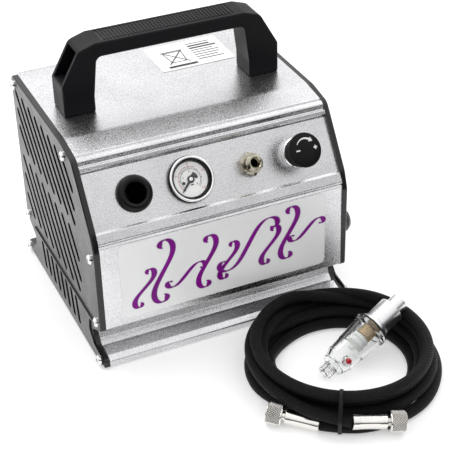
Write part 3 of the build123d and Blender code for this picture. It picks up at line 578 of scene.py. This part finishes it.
def spline_line(name, points, step):
    """Evenly spaced points, in millimetres, of a NURBS spline with these control points."""
    data = bpy.data.curves.new(name, "CURVE")
    data.dimensions = "3D"
    data.resolution_u = 16
    spline = data.splines.new("NURBS")
    spline.points.add(len(points) - 1)
    for control, point in zip(spline.points, points):
        control.co = (*(point * MM), 1.0)
    spline.order_u = 3
    spline.use_endpoint_u = True
    raw = [v.co / MM for v in curve_mesh(name, data).vertices]
    lengths = [0.0]
    for first, second in zip(raw, raw[1:]):
        lengths.append(lengths[-1] + (second - first).length)
    count = round(lengths[-1] / step)
    even = []
    index = 0
    for k in range(count + 1):
        at = lengths[-1] * k / count
        while index < len(raw) - 2 and lengths[index + 1] < at:
            index += 1
        share = (at - lengths[index]) / max(1e-9, lengths[index + 1] - lengths[index])
        even.append(raw[index].lerp(raw[index + 1], share))
    return even, lengths[-1]


def tube_along(line, radius, around):
    """Round tube on a line, its rings turned as little as possible from one to the next."""
    verts = []
    side = Vector((0, 0, 1)).cross(line[1] - line[0]).normalized()
    for index, point in enumerate(line):
        along = heading(line, index)
        side = (side - along * side.dot(along)).normalized()
        other = along.cross(side)
        for k in range(around):
            angle = TAU * k / around
            verts.append(point + (side * cos(angle) + other * sin(angle)) * radius)
    faces = []
    for ring in range(len(line) - 1):
        faces += ring_faces(ring * around, (ring + 1) * around, around)
    faces.append(list(range(around)))
    faces.append([len(verts) - around + k for k in range(around)])
    return verts, faces


HOSE_STEP = 1.3             # between rings of the hose's mesh
HOSE_AROUND = 28


def braid_place(loop):
    """UV of a hose corner: metres along, and turns around."""
    ring, k = divmod(loop.vertex_index, HOSE_AROUND)
    turn = k / HOSE_AROUND
    return (ring * HOSE_STEP * MM, turn)


def build_hose():
    line, length = spline_line("hose_line", hose_route(), HOSE_STEP)
    verts, faces = tube_along(line, HOSE_R, HOSE_AROUND)
    hose = piece("braided_hose", verts, faces, "braided_hose", Matrix(), uv=braid_place)
    mend_seam(hose)
    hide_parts("hose_coil")
    return hose, line, length


def mend_seam(hose):
    """The last strip round the hose runs on to 1 turn instead of back to 0."""
    layer = hose.data.uv_layers[HOSE_UV].data
    for face in hose.data.polygons:
        turns = [layer[index].uv[1] for index in face.loop_indices]
        if len(turns) == 4 and max(turns) - min(turns) > 0.5:
            for index in face.loop_indices:
                if layer[index].uv[1] < 0.5:
                    layer[index].uv[1] += 1.0


# ---- hose tie
TIE_ANGLE = radians(239.0)
TIE_WIDTH = 2.6
TIE_THICK = 0.5


def hull(points):
    """Convex hull of 2-D points, in order."""
    ordered = sorted(set(points))
    chains = []
    for run in (ordered, ordered[::-1]):
        chain = []
        for p in run:
            while len(chain) > 1:
                (ax, ay), (bx, by) = chain[-2], chain[-1]
                if (bx - ax) * (p[1] - ay) - (by - ay) * (p[0] - ax) > 0:
                    break
                chain.pop()
            chain.append(p)
        chains.append(chain[:-1])
    return chains[0] + chains[1]


def build_tie(line):
    """Coated wire drawn round the bundle, with its twisted ends on the inside."""
    out = Vector((cos(TIE_ANGLE), sin(TIE_ANGLE), 0))
    across = Vector((-out.y, out.x, 0))
    centre = Vector((COIL_CENTRE.x, COIL_CENTRE.y, 0))
    rims = []
    for first, second in zip(line, line[1:]):
        a = (first - centre).dot(across)
        b = (second - centre).dot(across)
        if a <= 0 < b and (first - centre).dot(out) > 0:
            middle = first.lerp(second, a / (a - b)) - centre
            for k in range(24):
                angle = TAU * k / 24
                reach = HOSE_R + 0.45
                u = middle.dot(out) + reach * cos(angle)
                v = max(0.5, middle.z + reach * sin(angle))
                rims.append((round(u, 3), round(v, 3)))
    loop = hull(rims)
    path = [centre + out * u + Vector((0, 0, v)) for u, v in loop]
    parts = [flat_band(path, across, TIE_WIDTH, TIE_THICK)]
    knot_at = min(path, key=lambda p: (p - centre).dot(out) - 0.35 * p.z)
    for twist in (0, 1):
        wire = []
        for k in range(40):
            t = k / 39
            angle = TAU * (2.2 * t + twist / 2)
            spiral = across * cos(angle) + Vector((0, 0, 1)) * sin(angle)
            end = -out * (0.5 + 2.2 * t) + Vector((0, 0, 6.5 * t))
            wire.append(knot_at + end + spiral * 0.62)
        parts.append(tube_along(wire, 0.55, 8))
    tie = piece("hose_tie_wire", *joined(parts), "black_tie", Matrix())
    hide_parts("hose_tie")
    return tie


def flat_band(path, across, width, thick):
    """Closed flat band on a loop of points, width along across."""
    verts = []
    middle = sum(path, Vector()) / len(path)
    for point in path:
        out = (point - middle).normalized()
        for u, v in ((-0.5, 0.0), (-0.4, 1.0), (0.4, 1.0), (0.5, 0.0)):
            verts.append(point + across * (u * width) + out * (v * thick))
    faces = []
    for ring in range(len(path)):
        faces += ring_faces(ring * 4, (ring + 1) % len(path) * 4, 4)
    return verts, faces


# ---- hose fittings
NUT_LENGTH = 10.4
FERRULE_LENGTH = 21.6
KNURL_COUNT = 26            # diamonds round a nut
KNURL_PITCH = 1.7
GROOVE_R = 6.46             # knurl faces inside this radius get the darker nickel: painted shade in the grooves
NUT_OPEN = 3.7              # from a hose socket's mount to the nut's open end
FIT_LENGTHS = {"left": 33.6, "right": 33.3}     # from the braid's end to the nut's open end


def fitting_frame(side):
    """Frame at the open end of a hose nut, Z pointing out of it."""
    end, direction = hose_end(side)
    return axes_frame(end + direction * NUT_OPEN * MM, direction, (0, 0, 1))


def knurl(angle, radius, height):
    """Diamond knurling over the nut's rim."""
    if radius < 6.7 or not -NUT_LENGTH + 0.9 < height < -0.9:
        return 0.0
    a = wave(KNURL_COUNT * angle / TAU + height / KNURL_PITCH)
    b = wave(KNURL_COUNT * angle / TAU - height / KNURL_PITCH)
    return 0.12 - 0.75 * max(a, b) ** 2.2


def build_nut(side):
    inner = thread_cut(0.9, -0.35, -6.6, -0.4)

    def shift(angle, radius, height):
        if 4.6 < radius < 5.2:
            return -inner(angle, radius, height) - 0.35
        return knurl(angle, radius, height)

    profile = [(3.1, -NUT_LENGTH)]
    profile += rounded([(6.0, -NUT_LENGTH, 0), (6.55, -NUT_LENGTH, 0.3), (6.8, -NUT_LENGTH + 0.7, 0)], 3)
    profile += steps_between(6.8, -NUT_LENGTH + 0.9, -0.9, 0.21)
    profile += rounded([(6.8, -0.7, 0), (6.5, 0.0, 0.3), (5.6, 0.0, 0)], 3)
    profile += [(5.25, -0.1)]
    profile += steps_between(4.9, -0.4, -7.2, 0.2)
    profile += [(3.1, -7.3)]
    place = fitting_frame(side)
    turned = lathe(profile, 264, True, shift)
    nut = piece(f"knurled_nut_{side}", *turned, "polished_nickel", place, body=f"nut_{side}", sharp=40)
    nut.data.materials.append(KNURL_PAINTED_SHADE)
    # faces down in the knurl's grooves take the darker nickel: painted shade
    inverse = place.inverted()
    for face in nut.data.polygons:
        at = inverse @ face.center / MM
        if 5.9 < hypot(at.x, at.y) < GROOVE_R and -NUT_LENGTH + 0.8 < at.z < -0.8:
            face.material_index = 1
    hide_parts(f"hose_nut_{side}")
    return nut


def build_ferrules():
    """Crimped sleeves: six pressed flats in the middle, a rolled edge, and a neck with a collar."""
    parts = []
    for side, flats in (("left", 0.16), ("right", 0.34)):

        def crimp(angle, radius, height, flats=flats):
            if radius < 4.4:
                return 0.0
            t = (height - 4.0) / (FERRULE_LENGTH - 8.0)
            press = sin(pi * max(0.0, min(1.0, t))) ** 0.35 if 0 < t < 1 else 0.0
            return -flats * press * (0.6 + 0.9 * wave(6 * angle / TAU + 0.5) ** 2)

        mouth = [(1.3, 2.0, 0), (1.3, 0.1, 0), (4.25, 0.1, 0.0), (4.75, 0.0, 0.3), (4.95, 0.8, 0)]
        profile = rounded(mouth, 3)
        profile += steps_between(4.9, 1.2, FERRULE_LENGTH - 1.2, 0.5)
        profile += rounded(
            [(4.95, FERRULE_LENGTH - 0.9, 0), (4.9, FERRULE_LENGTH, 0.5), (3.4, FERRULE_LENGTH, 0)], 4
        )
        profile += [(3.0, FERRULE_LENGTH + 0.3), (3.0, FERRULE_LENGTH + 3.6)]
        profile += [(2.2, FERRULE_LENGTH + 4.4), (1.3, FERRULE_LENGTH + 4.4)]
        end, direction = hose_end(side)
        start = end + direction * (NUT_OPEN - FIT_LENGTHS[side]) * MM
        spun = lathe(profile, 96, True, crimp)
        parts.append(moved(spun, axes_frame(start / MM, direction, (0, 0, 1))))
    sleeves = piece("crimped_ferrules", *joined(parts), "polished_nickel", Matrix(), sharp=40)
    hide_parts("hose_ferrules")
    return sleeves


hose, hose_line, hose_length = build_hose()
tie = build_tie(hose_line)
ferrules = build_ferrules()
nut_left = build_nut("left")
nut_right = build_nut("right")


# ---- control panel
OUTLET_MOUNT = 8.5          # from the panel's face to the outlet's mount
PANEL_NORMAL = Vector(MOUNTS["outlet"]["axis"])
PANEL_ROW = Vector(MOUNTS["outlet"]["pos_m"]) - PANEL_NORMAL * OUTLET_MOUNT * MM


def panel(x):
    """Frame on the panel's row of controls: X to the right, Y up the slope, Z out of the panel."""
    return axes_frame((x, PANEL_ROW.y, PANEL_ROW.z), PANEL_NORMAL, (1, 0, 0))


HOLDER = panel(MOUNTS["airbrush_holder"]["pos_m"][0])
OUTLET = panel(MOUNTS["outlet"]["pos_m"][0])
GAUGE = panel(JOINTS["gauge_needle_sweep"]["pos_m"][0])
KNOB = panel(JOINTS["pressure_knob_turn"]["pos_m"][0])


def build_holder():
    """Soft domed cup with a rolled lip."""
    lip = [(6.85, -38.0, 0.5), (6.85, 5.0, 0.9), (9.2, 5.4, 1.9), (11.3, 3.9, 2.2), (12.05, 0.05, 0.3)]
    tube = [(9.0, 0.05, 0), (9.0, -40.0, 0.5), (0.0, -40.0, 0), (0.0, -38.0, 0)]
    profile = rounded(lip + tube, 7)
    cup = piece("holder_cup", *lathe(profile, 96, True), "holder_black", HOLDER, sharp=50)
    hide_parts("airbrush_holder")


HEX_TURN = radians(-25.0)         # turn of the hexagon on the panel
HEX_FLATS = 7.0                        # half the distance across its flats


def build_outlet():
    """Hexagon with turned-off corners and a threaded end with a bore."""

    def shift(angle, radius, height):
        if radius > 5.4:
            nearest = (angle - HEX_TURN) % (pi / 3) - pi / 6
            return min(0.0, HEX_FLATS / cos(nearest) - radius)
        if radius > 4.6 and height > 5.0:
            return thread(angle, radius, height)
        return 0.0

    thread = thread_cut(0.91, 0.62, 6.0, 12.3)
    profile = [(1.85, 9.0), (1.85, -24.0), (4.8, -24.0), (4.8, -0.2), (5.5, 0.05)]
    profile += [(7.6, 0.05), (8.1, 0.55), (8.1, 4.2), (7.75, 4.7), (7.0, 5.05), (5.5, 5.1)]
    profile += [(4.35, 5.15), (4.35, 5.75)]
    profile += steps_between(4.865, 6.0, 12.3, 0.1)
    profile += [(4.3, 12.6), (3.9, 12.65), (3.6, 12.45), (1.95, 9.5), (1.85, 9.3)]
    turned = lathe(profile, 144, True, shift)
    fitting = piece("threaded_outlet", *turned, "nickel_brass", OUTLET, sharp=28)
    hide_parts("outlet_fitting")


KNOB_FRONT = 18.25
KNOB_FALL = 0.0286          # the front falls this much for each millimetre outwards


def dome_height(radius):
    """Height of the knob's front above the panel at a radius."""
    return KNOB_FRONT - KNOB_FALL * radius


def build_knob():
    """Broad rounded front on a body that tapers towards the panel."""
    profile = [(0.0, KNOB_FRONT), (4.0, dome_height(4.0)), (9.3, dome_height(9.3))]
    profile += rounded([(10.4, 17.9, 0.4), (11.35, 17.3, 0.5), (11.3, 16.0, 0.6), (10.6, 14.6, 0.8)], 6)
    profile += [(7.6, 6.4), (3.0, 6.3), (3.0, 12.8), (0, 12.8)]
    knob = piece("knob_cap", *lathe(profile, 128), "knob_black", KNOB, body="pressure_knob")
    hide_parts("regulator_knob")


def build_knob_marks():
    """White arc arrow, a minus at its start and a plus at its end."""
    reach = 6.0
    points = []
    widths = []
    for k in range(25):
        angle = radians(152 - 100 * k / 24)
        points.append((0.4 + reach * cos(angle), 1.4 + reach * sin(angle)))
        widths.append(0.45 + 0.95 * k / 24)
    marks = [strip(points, widths, 0.0)]
    tip = Vector(points[-1])
    ahead = (tip - Vector(points[-2])).normalized()
    side = Vector((-ahead.y, ahead.x))
    head = [tip + side * 1.7, tip - side * 1.7, tip + ahead * 2.6]
    marks.append(([(p.x, p.y, 0.0) for p in head], [(0, 1, 2)]))
    marks.append(strip([(-6.4, 0.2), (-3.8, 0.2)], [0.95, 0.95], 0.0))
    marks.append(strip([(5.8, 0.3), (8.4, 0.3)], [0.9, 0.9], 0.0))
    marks.append(strip([(7.1, -1.0), (7.1, 1.6)], [0.9, 0.9], 0.004))
    verts, faces = joined(marks)
    verts = [(x, y, z + dome_height(hypot(x, y)) + 0.03) for x, y, z in verts]
    piece("knob_marks", verts, faces, INK_WHITE, KNOB, body="pressure_knob")


def printed_text(text, size):
    """Outline letters as points and faces, centred on the origin, in millimetres."""
    data = bpy.data.curves.new("text", "FONT")
    data.body = text
    data.size = size
    data.align_x = "CENTER"
    data.align_y = "CENTER"
    data.resolution_u = 3
    mesh = curve_mesh("text", data)
    return [tuple(v.co) for v in mesh.vertices], [list(p.vertices) for p in mesh.polygons]


def arc(radius, start, end, width, lift, count=48):
    """Printed arc between two angles in degrees."""
    points = []
    for k in range(count + 1):
        angle = radians(start + (end - start) * k / count)
        points.append((radius * cos(angle), radius * sin(angle)))
    return strip(points, [width] * len(points), lift)


DIAL_START = 225.0          # zero mark, degrees from the dial's X axis
DIAL_SWEEP = 270.0


def dial_angle(share):
    return radians(DIAL_START - DIAL_SWEEP * share)


def radial(angle, low, high, width, lift):
    c, s = cos(angle), sin(angle)
    return strip([(low * c, low * s), (high * c, high * s)], [width, width], lift)


DIAL_TOP = 0.84             # the print lies this high on the dial


def dial_numbers(step, size, radius):
    """Five numbers, step apart, round the dial."""
    numbers = []
    for k in range(5):
        angle = dial_angle(k / 4)
        place = Matrix.Translation((radius * cos(angle), radius * sin(angle), DIAL_TOP))
        numbers.append(moved(printed_text(str(step * k), size), place))
    return numbers


def build_dial_print():
    """Two scales: an inner one in bar and an outer one in larger steps, with two fixing dots."""
    top = DIAL_TOP
    finish = DIAL_START - DIAL_SWEEP
    black = [arc(6.6, DIAL_START, finish, 0.28, top)]
    black.append(arc(7.5, DIAL_START, finish, 0.16, top))
    for k in range(31):
        long = k % 5 == 0
        black.append(radial(dial_angle(k / 30), 6.6, 7.9 if long else 7.4, 0.34 if long else 0.16, top))
    black += dial_numbers(2, 2.1, 5.1)
    black.append(strip([(-0.9, -3.6), (1.3, -3.6)], [0.75, 0.75], top))
    piece("dial_scale", *joined(black), SCALE_GREY, GAUGE)
    dots = []
    for x, y in ((-5.1, -1.6), (4.0, 0.8)):
        dot = lathe([(0, top + 0.3), (0.95, top + 0.25), (1.1, top)], 24)
        dots.append(moved(dot, Matrix.Translation((x, y, 0))))
    piece("dial_dots", *joined(dots), INK_BLACK, GAUGE)
    red = [arc(8.3, DIAL_START, 60.0, 0.30, top, 64)]
    for k in range(17):
        red.append(radial(dial_angle(k / 16), 8.3, 9.1 if k % 4 == 0 else 8.8, 0.2, top + 0.004))
    red += dial_numbers(30, 1.7, 10.0)
    piece("dial_outer_scale", *joined(red), INK_RED, GAUGE)


def build_needle():
    """Bold pointer with a bar tail, on a hub with a light turned cap."""
    low, high = 1.15, 1.5
    flat = []
    for ends, widths in (
        ([(0.0, 0.0), (0.0, 7.4)], [2.1, 1.1]),
        ([(0.0, 7.4), (0.0, 8.0), (0.0, 10.0)], [1.1, 1.7, 0.2]),
        ([(0.0, 0.0), (0.0, -2.6), (0.0, -4.8)], [2.0, 2.5, 2.5]),
    ):
        verts, faces = strip(ends, widths, high)
        count = len(verts)
        faces = list(faces) + [[k + count for k in face] for face in faces]
        verts = verts + [(x, y, low) for x, y, _ in verts]
        rim = list(range(0, count, 2)) + list(range(count - 1, 0, -2))
        for first, second in zip(rim, rim[1:] + rim[:1]):
            faces.append([first, second, second + count, first + count])
        flat.append((verts, faces))
    hub = [(0, -5.8), (0.6, -5.8), (0.6, 0.95), (2.4, 1.0), (2.45, 1.55), (1.9, 1.75), (0, 1.75)]
    flat.append(lathe(hub, 48))
    turn = Matrix.Rotation(radians(DIAL_START - 90.0), 4, "Z")
    matrix = GAUGE @ turn
    pointer = piece("dial_pointer", *joined(flat), "needle_black", matrix, body="needle")
    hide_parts("gauge_needle")
    cap = lathe([(1.3, 1.74), (1.25, 1.9), (0.5, 1.98), (0.45, 1.86), (0, 1.86)], 40)
    piece("pointer_cap", *cap, "bright_screw", matrix, body="needle", slot="needle_black")


def build_bezel():
    """Rolled chrome ring round a black conical surround."""
    inside = [(12.65, 0.1, 0), (12.65, 3.1, 0), (12.9, 3.2, 0.1)]
    roll = [(13.25, 4.5, 0.2), (14.3, 4.6, 0.3), (14.8, 4.2, 0.2)]
    profile = rounded(inside + roll, 6)
    profile += [(14.8, 3.6), (14.8, 0.1)]
    ring = piece("bezel_ring", *lathe(profile, 120, True), "chrome_ring", GAUGE, sharp=50)
    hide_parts("gauge_bezel")
    skirt = [(14.82, 0.1), (14.82, 3.5), (15.1, 3.2), (15.1, 0.1)]
    cone = [(11.3, 0.85), (11.9, 0.85), (12.55, 2.0), (12.55, 3.1)]
    cone += [(13.3, 4.42), (13.15, 4.42), (12.2, 3.15), (11.5, 2.0)]
    shades = joined([lathe(skirt, 120, True), lathe(cone, 96, True)])
    piece("gauge_surround", *shades, "holder_black", GAUGE, slot="black_rubber", sharp=50)


def build_collar():
    """Plated ring nut with fine straight knurling."""

    def ridges(angle, radius, height):
        if radius < 10.0 or not 0.8 < height < 4.8:
            return 0.0
        return -0.22 * wave(70 * angle / TAU)

    profile = [(8.0, 0.05), (9.8, 0.05), (10.0, 0.3), (10.1, 0.8)]
    profile += steps_between(10.1, 1.0, 4.6, 0.6)
    profile += [(10.05, 4.9), (9.6, 5.4), (8.0, 5.4)]
    ring = piece("ring_nut", *lathe(profile, 280, True, ridges), "chrome_ring", KNOB, sharp=30)
    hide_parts("regulator_collar")


build_holder()
build_outlet()
build_knob()
build_knob_marks()
build_dial_print()
build_needle()
build_bezel()
build_collar()


# ---- handle grip
def build_grip():
    """Soft insert with a grid of small raised pads."""
    low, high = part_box("handle_grip")
    low, high = low / MM, high / MM
    parts = [solid_block(low.x, high.x, low.y, high.y, low.z, high.z - 0.75, 0.1)]
    columns, rows, margin = 38, 6, 0.9
    step_x = (high.x - low.x - 2 * margin) / columns
    step_y = (high.y - low.y - 2 * margin) / rows
    for column in range(columns):
        for row in range(rows):
            x = low.x + margin + step_x * (column + 0.5)
            y = low.y + margin + step_y * (row + 0.5)
            half_x, half_y = step_x * 0.30, step_y * 0.40
            parts.append(
                solid_block(x - half_x, x + half_x, y - half_y, y + half_y, high.z - 0.8, high.z, 0.28)
            )
    grip = piece("grip_pads", *joined(parts), "grip_black", Matrix(), sharp=50)
    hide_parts("handle_grip")


build_grip()


# ---- labels
LABEL_THICK = 0.3


def label_frame():
    """Frame on the front label's face: X to the right, Y up, Z out of it; centred."""
    low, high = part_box("front_label")
    rise = high.z - low.z
    lean = high.y - low.y - LABEL_THICK * MM
    normal = Vector((0, -rise, lean))
    centre = Vector(((low.x + high.x) / 2, low.y + lean / 2, (low.z + high.z) / 2))
    return axes_frame(centre, normal, (1, 0, 0))


SCROLL_STEP = 0.4
SCROLL_TIGHT = 2.2          # how suddenly the ends of a scroll wind up


def scroll(x, y, start, length, turn):
    """Points of a double scroll: straight at its middle, wound up at its ends, centred on (x, y)."""
    half = []
    count = int(length / 2 / SCROLL_STEP)
    angle = start
    at = Vector((0.0, 0.0))
    for k in range(count):
        t = k / count
        angle += turn * (SCROLL_TIGHT + 1) * SCROLL_STEP / (length / 2) * t ** SCROLL_TIGHT
        at = at + Vector((cos(angle), sin(angle))) * SCROLL_STEP
        half.append((at.x, at.y))
    back = [(-u, -v) for u, v in reversed(half)]
    return [(x + u, y + v) for u, v in back + [(0.0, 0.0)] + half]


def pen_widths(points, broad, fine):
    """Broad-nib widths: thick on the steep run of a line, thin along it, tapered at the ends."""
    widths = []
    count = len(points)
    places = [Vector(point) for point in points]
    for index in range(count):
        along = heading(places, index)
        nib = abs(along.x * sin(0.1) - along.y * cos(0.1)) ** 1.5
        ends = min(1.0, index / 9, (count - 1 - index) / 9)
        widths.append((fine + (broad - fine) * nib) * (0.35 + 0.65 * ends))
    return widths


SCROLLS = [           # x, y, heading, length, turn at each end
    (-57.0, -8.5, 0.75, 46.0, 5.4),
    (-43.5, 0.5, 1.02, 74.0, 5.2),
    (-28.0, -6.5, 0.80, 44.0, -5.2),
    (-13.0, -1.0, 0.98, 62.0, 5.3),
    (2.0, -4.5, 0.80, 44.0, 5.3),
    (16.5, 3.5, 1.04, 78.0, -5.2),
    (32.0, -1.5, 0.82, 46.0, 5.4),
    (46.0, 4.0, 1.00, 62.0, 5.2),
    (59.0, 3.0, 0.80, 42.0, -5.3),
]


PEN_BROAD = 4.0
PEN_FINE = 0.9
HALO = 1.2                  # the pale edge widens a stroke by this much


def build_front_print():
    """Row of purple scrolls with a pale edge, each a little above the last."""
    place = label_frame()
    strokes = []
    halos = []
    for index, place_and_shape in enumerate(SCROLLS):
        points = scroll(*place_and_shape)
        widths = pen_widths(points, PEN_BROAD, PEN_FINE)
        strokes.append(strip(points, widths, 0.040 + 0.003 * index))
        halos.append(strip(points, [w + HALO for w in widths], 0.008 + 0.003 * index))
    piece("label_halo", *joined(halos), INK_WHITE, place)
    piece("label_flourish", *joined(strokes), INK_PURPLE, place)


def build_top_print():
    """Generic print on the top label: a crossed box sign, a bar, and rules for small print."""
    low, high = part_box("top_label")
    centre = (low + high) / 2
    place = Matrix.Translation((centre.x, centre.y, high.z))
    rows = [strip([(-20.5, -15.2), (0.5, -15.2)], [3.0, 3.0], 0.02)]
    for ends in ([(-18, -11), (-3, 8)], [(-18, 8), (-3, -11)]):
        rows.append(strip(ends, [1.0, 1.0], 0.03))
    square = [(-15.8, -9), (-5.2, -9), (-3.8, 6), (-17.2, 6), (-15.8, -9), (-5.2, -9)]
    rows.append(strip(square, [0.9] * 6, 0.025))
    rows.append(strip([(-18.6, 7.6), (-2.4, 7.6)], [1.5, 1.5], 0.02))
    draw = random.Random(7)
    for row in range(8):
        y = 14.0 - 3.6 * row
        reach = 19.5 + draw.uniform(-4.0, 3.0)
        thick = 2.2 if row in (1, 2) else 1.15
        rows.append(strip([(3.0, y), (3.0 + reach, y)], [thick, thick], 0.02))
    piece("top_label_print", *joined(rows), INK_BLACK, place)


build_front_print()
build_top_print()


# ---- moisture trap
TRAP_AXIS = Vector(MOUNTS["trap_outlet"]["axis"])
TRAP_AT = Vector(MOUNTS["trap_inlet"]["pos_m"]) - TRAP_AXIS * 4.5 * MM
TRAP = axes_frame(TRAP_AT, TRAP_AXIS, (0, 0, 1))
DRAIN_AT = 57.0             # along the trap
BOSS_REACH = 7.8            # from the trap's axis
PIN_REACH = 8.6
DRAIN_TURN = radians(-62.0)


def build_trap_cap():
    """Turned metal cap with a threaded stub."""
    thread = thread_cut(0.91, -0.3, 0.6, 8.6, (4.8, 5.0))
    stub = [(5.0, 0.3, 0), (5.2, 0.0, 0.15), (5.8, 0.0, 0.2), (6.0, 0.4, 0.2), (6.0, 7.6, 0.2)]
    barrel = [(8.4, 7.8, 0.3), (8.8, 8.3, 0.3), (8.8, 22.6, 0.2), (8.5, 22.9, 0.1)]
    flange = [(8.5, 23.6, 0.1), (8.8, 23.9, 0.1), (10.2, 24.0, 0.3), (10.2, 26.0, 0), (3.4, 26.0, 0)]
    profile = rounded(stub, 3) + rounded(barrel, 3) + rounded(flange, 3)
    profile += [(3.4, 22.0), (1.9, 22.0), (1.9, 9.0)]
    profile += steps_between(4.9, 9.0, 0.5, 0.16)
    turned = lathe(profile, 120, True, thread)
    cap = piece("trap_cap_turned", *turned, "satin_aluminium", TRAP, sharp=30)
    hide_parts("trap_cap")


def build_trap_bowl():
    """Clear bowl: flange, ribbed tapering wall, shoulder and threaded end."""
    thread = thread_cut(1.2, 0.35, 65.6, 71.0, (4.7, 4.9))
    profile = rounded([(9.4, 27.6, 0), (12.5, 27.6, 0.4), (12.5, 30.2, 0.7), (11.3, 31.0, 0.4)], 4)
    profile += rounded([(11.1, 36.0, 0), (10.5, 47.0, 0.5), (10.2, 47.6, 0.3), (9.9, 57.5, 1.2)], 4)
    profile += rounded([(8.6, 62.0, 1.5), (6.8, 64.4, 1.0), (4.86, 65.0, 0.2)], 5)
    profile += steps_between(4.82, 65.2, 71.0, 0.125)
    profile += rounded([(4.86, 71.2, 0), (4.4, 71.8, 0.2), (1.9, 71.8, 0.2), (1.9, 63.4, 0)], 3)
    profile += rounded([(6.0, 61.4, 0.8), (8.0, 56.0, 1.4), (9.4, 31.0, 0.2)], 5)
    bowl = piece("clear_bowl", *lathe(profile, 120, True, thread), "clear_bowl", TRAP, sharp=45)
    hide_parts("trap_bowl")
    boss = rounded([(1.95, 0.4, 0), (3.2, 0.4, 0), (3.2, 3.6, 0.5), (1.95, 3.6, 0.3)], 4)
    piece("drain_boss", *lathe(boss, 48, True), "clear_bowl", drain_frame(BOSS_REACH))


def drain_frame(reach):
    """Frame at the drain on the bowl's wall, Z pointing out of the bowl."""
    local = Matrix.Translation((0, 0, DRAIN_AT * MM)) @ Matrix.Rotation(DRAIN_TURN, 4, "Z")
    outward = Matrix.Translation((reach * MM, 0, 0)) @ Matrix.Rotation(pi / 2, 4, "Y")
    return TRAP @ local @ outward


def build_trap_inside():
    """Sintered filter element, the baffle below it, and the seal under the cap."""
    element = [(3.3, 26.2, 0), (5.0, 26.2, 0.2), (5.2, 27.2, 0.4), (5.2, 36.2, 0.6), (3.3, 36.3, 0)]
    turned = lathe(rounded(element, 4), 72, True)
    bronze = piece("filter_element", *turned, "sintered_bronze", TRAP)
    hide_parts("trap_filter")
    baffle = [(0, 36.6, 0), (5.4, 36.8, 0.4), (6.0, 37.6, 0.4), (6.0, 39.6, 0.2), (5.2, 39.9, 0.2)]
    baffle += [(5.2, 41.4, 0.2), (6.3, 41.7, 0.2), (6.2, 43.4, 0.4)]
    baffle += [(2.6, 44.6, 0.4), (2.2, 47.6, 0.5), (0, 48.0, 0)]
    piece("trap_baffle", *lathe(rounded(baffle, 4), 72), WHITE_PLASTIC, TRAP)
    seal = []
    for k in range(13):
        angle = TAU * k / 12
        seal.append((11.3 + 0.75 * cos(angle), 26.75 + 0.72 * sin(angle)))
    inner_step = rounded([(9.0, 26.1, 0), (10.6, 26.1, 0.1), (10.6, 27.4, 0.1), (9.0, 27.4, 0)], 2)
    rings = joined([lathe(seal[:-1], 96, True), lathe(inner_step, 72, True)])
    piece("trap_seal_ring", *rings, "black_rubber", TRAP)


def build_drain_pin():
    """Rounded red button with its stem."""
    profile = rounded([(0, 4.3, 0), (1.3, 4.25, 0.4), (1.8, 3.7, 0.4), (1.85, -1.2, 0.2), (0, -1.2, 0)], 4)
    pin = piece("drain_pin", *lathe(profile, 40), "red_button", drain_frame(PIN_REACH), body="drain_pin")
    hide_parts("drain_button")


build_trap_cap()
build_trap_bowl()
build_trap_inside()
build_drain_pin()


# ---- stage and light
def build_stage():
    """White table that ends a little way in front of the object."""
    mesh = bpy.data.meshes.new("floor")
    far = FLOOR_REACH
    corners = [(-far, FLOOR_FRONT, 0), (far, FLOOR_FRONT, 0), (far, far, 0), (-far, far, 0)]
    mesh.from_pydata(corners, [], [(0, 1, 2, 3)])
    material, _, shader = new_material("floor_white")
    set_values(
        shader, base_color=(0.72, 0.72, 0.72), roughness=0.6, specular_ior_level=0.2,
        emission_color=(1.0, 1.0, 1.0), emission_strength=FLOOR_GLOW,
    )
    mesh.materials.append(material)
    add_object("floor", mesh)


def build_world():
    """White studio: bright overhead and behind, dark near the horizon at the front and sides."""
    world = bpy.data.worlds.new("studio")
    bpy.context.scene.world = world
    world.use_nodes = True
    tree = world.node_tree
    back = tree.nodes["Background"]
    place = tree.nodes.new("ShaderNodeTexCoord")
    split = tree.nodes.new("ShaderNodeSeparateXYZ")
    set_values(split, vector=place.outputs["Generated"])
    behind = math_node(tree, "MULTIPLY", math_node(tree, "MAXIMUM", split.outputs[1], 0.0), 0.5)
    lit = math_node(tree, "ADD", split.outputs[2], behind)
    room = spread(tree, lit, ROOM_DARK, ROOM_LIGHT, 0.20, 0.50)
    canopy = spread(tree, lit, 0.0, CANOPY_LIGHT, 0.50, 0.95)
    set_values(back, color=(1.0, 1.0, 1.0), strength=math_node(tree, "ADD", room, canopy))


def area_light(name, at, target, size, power):
    data = bpy.data.lights.new(name, "AREA")
    data.shape = "DISK"
    data.size = size
    data.energy = power
    lamp = add_object(name, data)
    aim = Vector(at) - Vector(target)
    lamp.matrix_world = Matrix.Translation(at) @ aim.to_track_quat("Z", "Y").to_matrix().to_4x4()


ROOM_DARK = 0.05            # strength of the world near the horizon
ROOM_LIGHT = 1.0            # and above it
CANOPY_LIGHT = 0.26         # added straight overhead
FLOOR_REACH = 5.0           # metres, as is the next
FLOOR_FRONT = -0.45
FLOOR_GLOW = 0.38

build_stage()
build_world()
area_light("key", (-0.35, 0.75, 1.25), (0.0, -0.05, 0.05), 0.9, 6.0)
area_light("fill", (0.9, 0.2, 0.9), (0.0, 0.0, 0.1), 0.8, 2.0)
bpy.context.scene.view_settings.view_transform = "Standard"
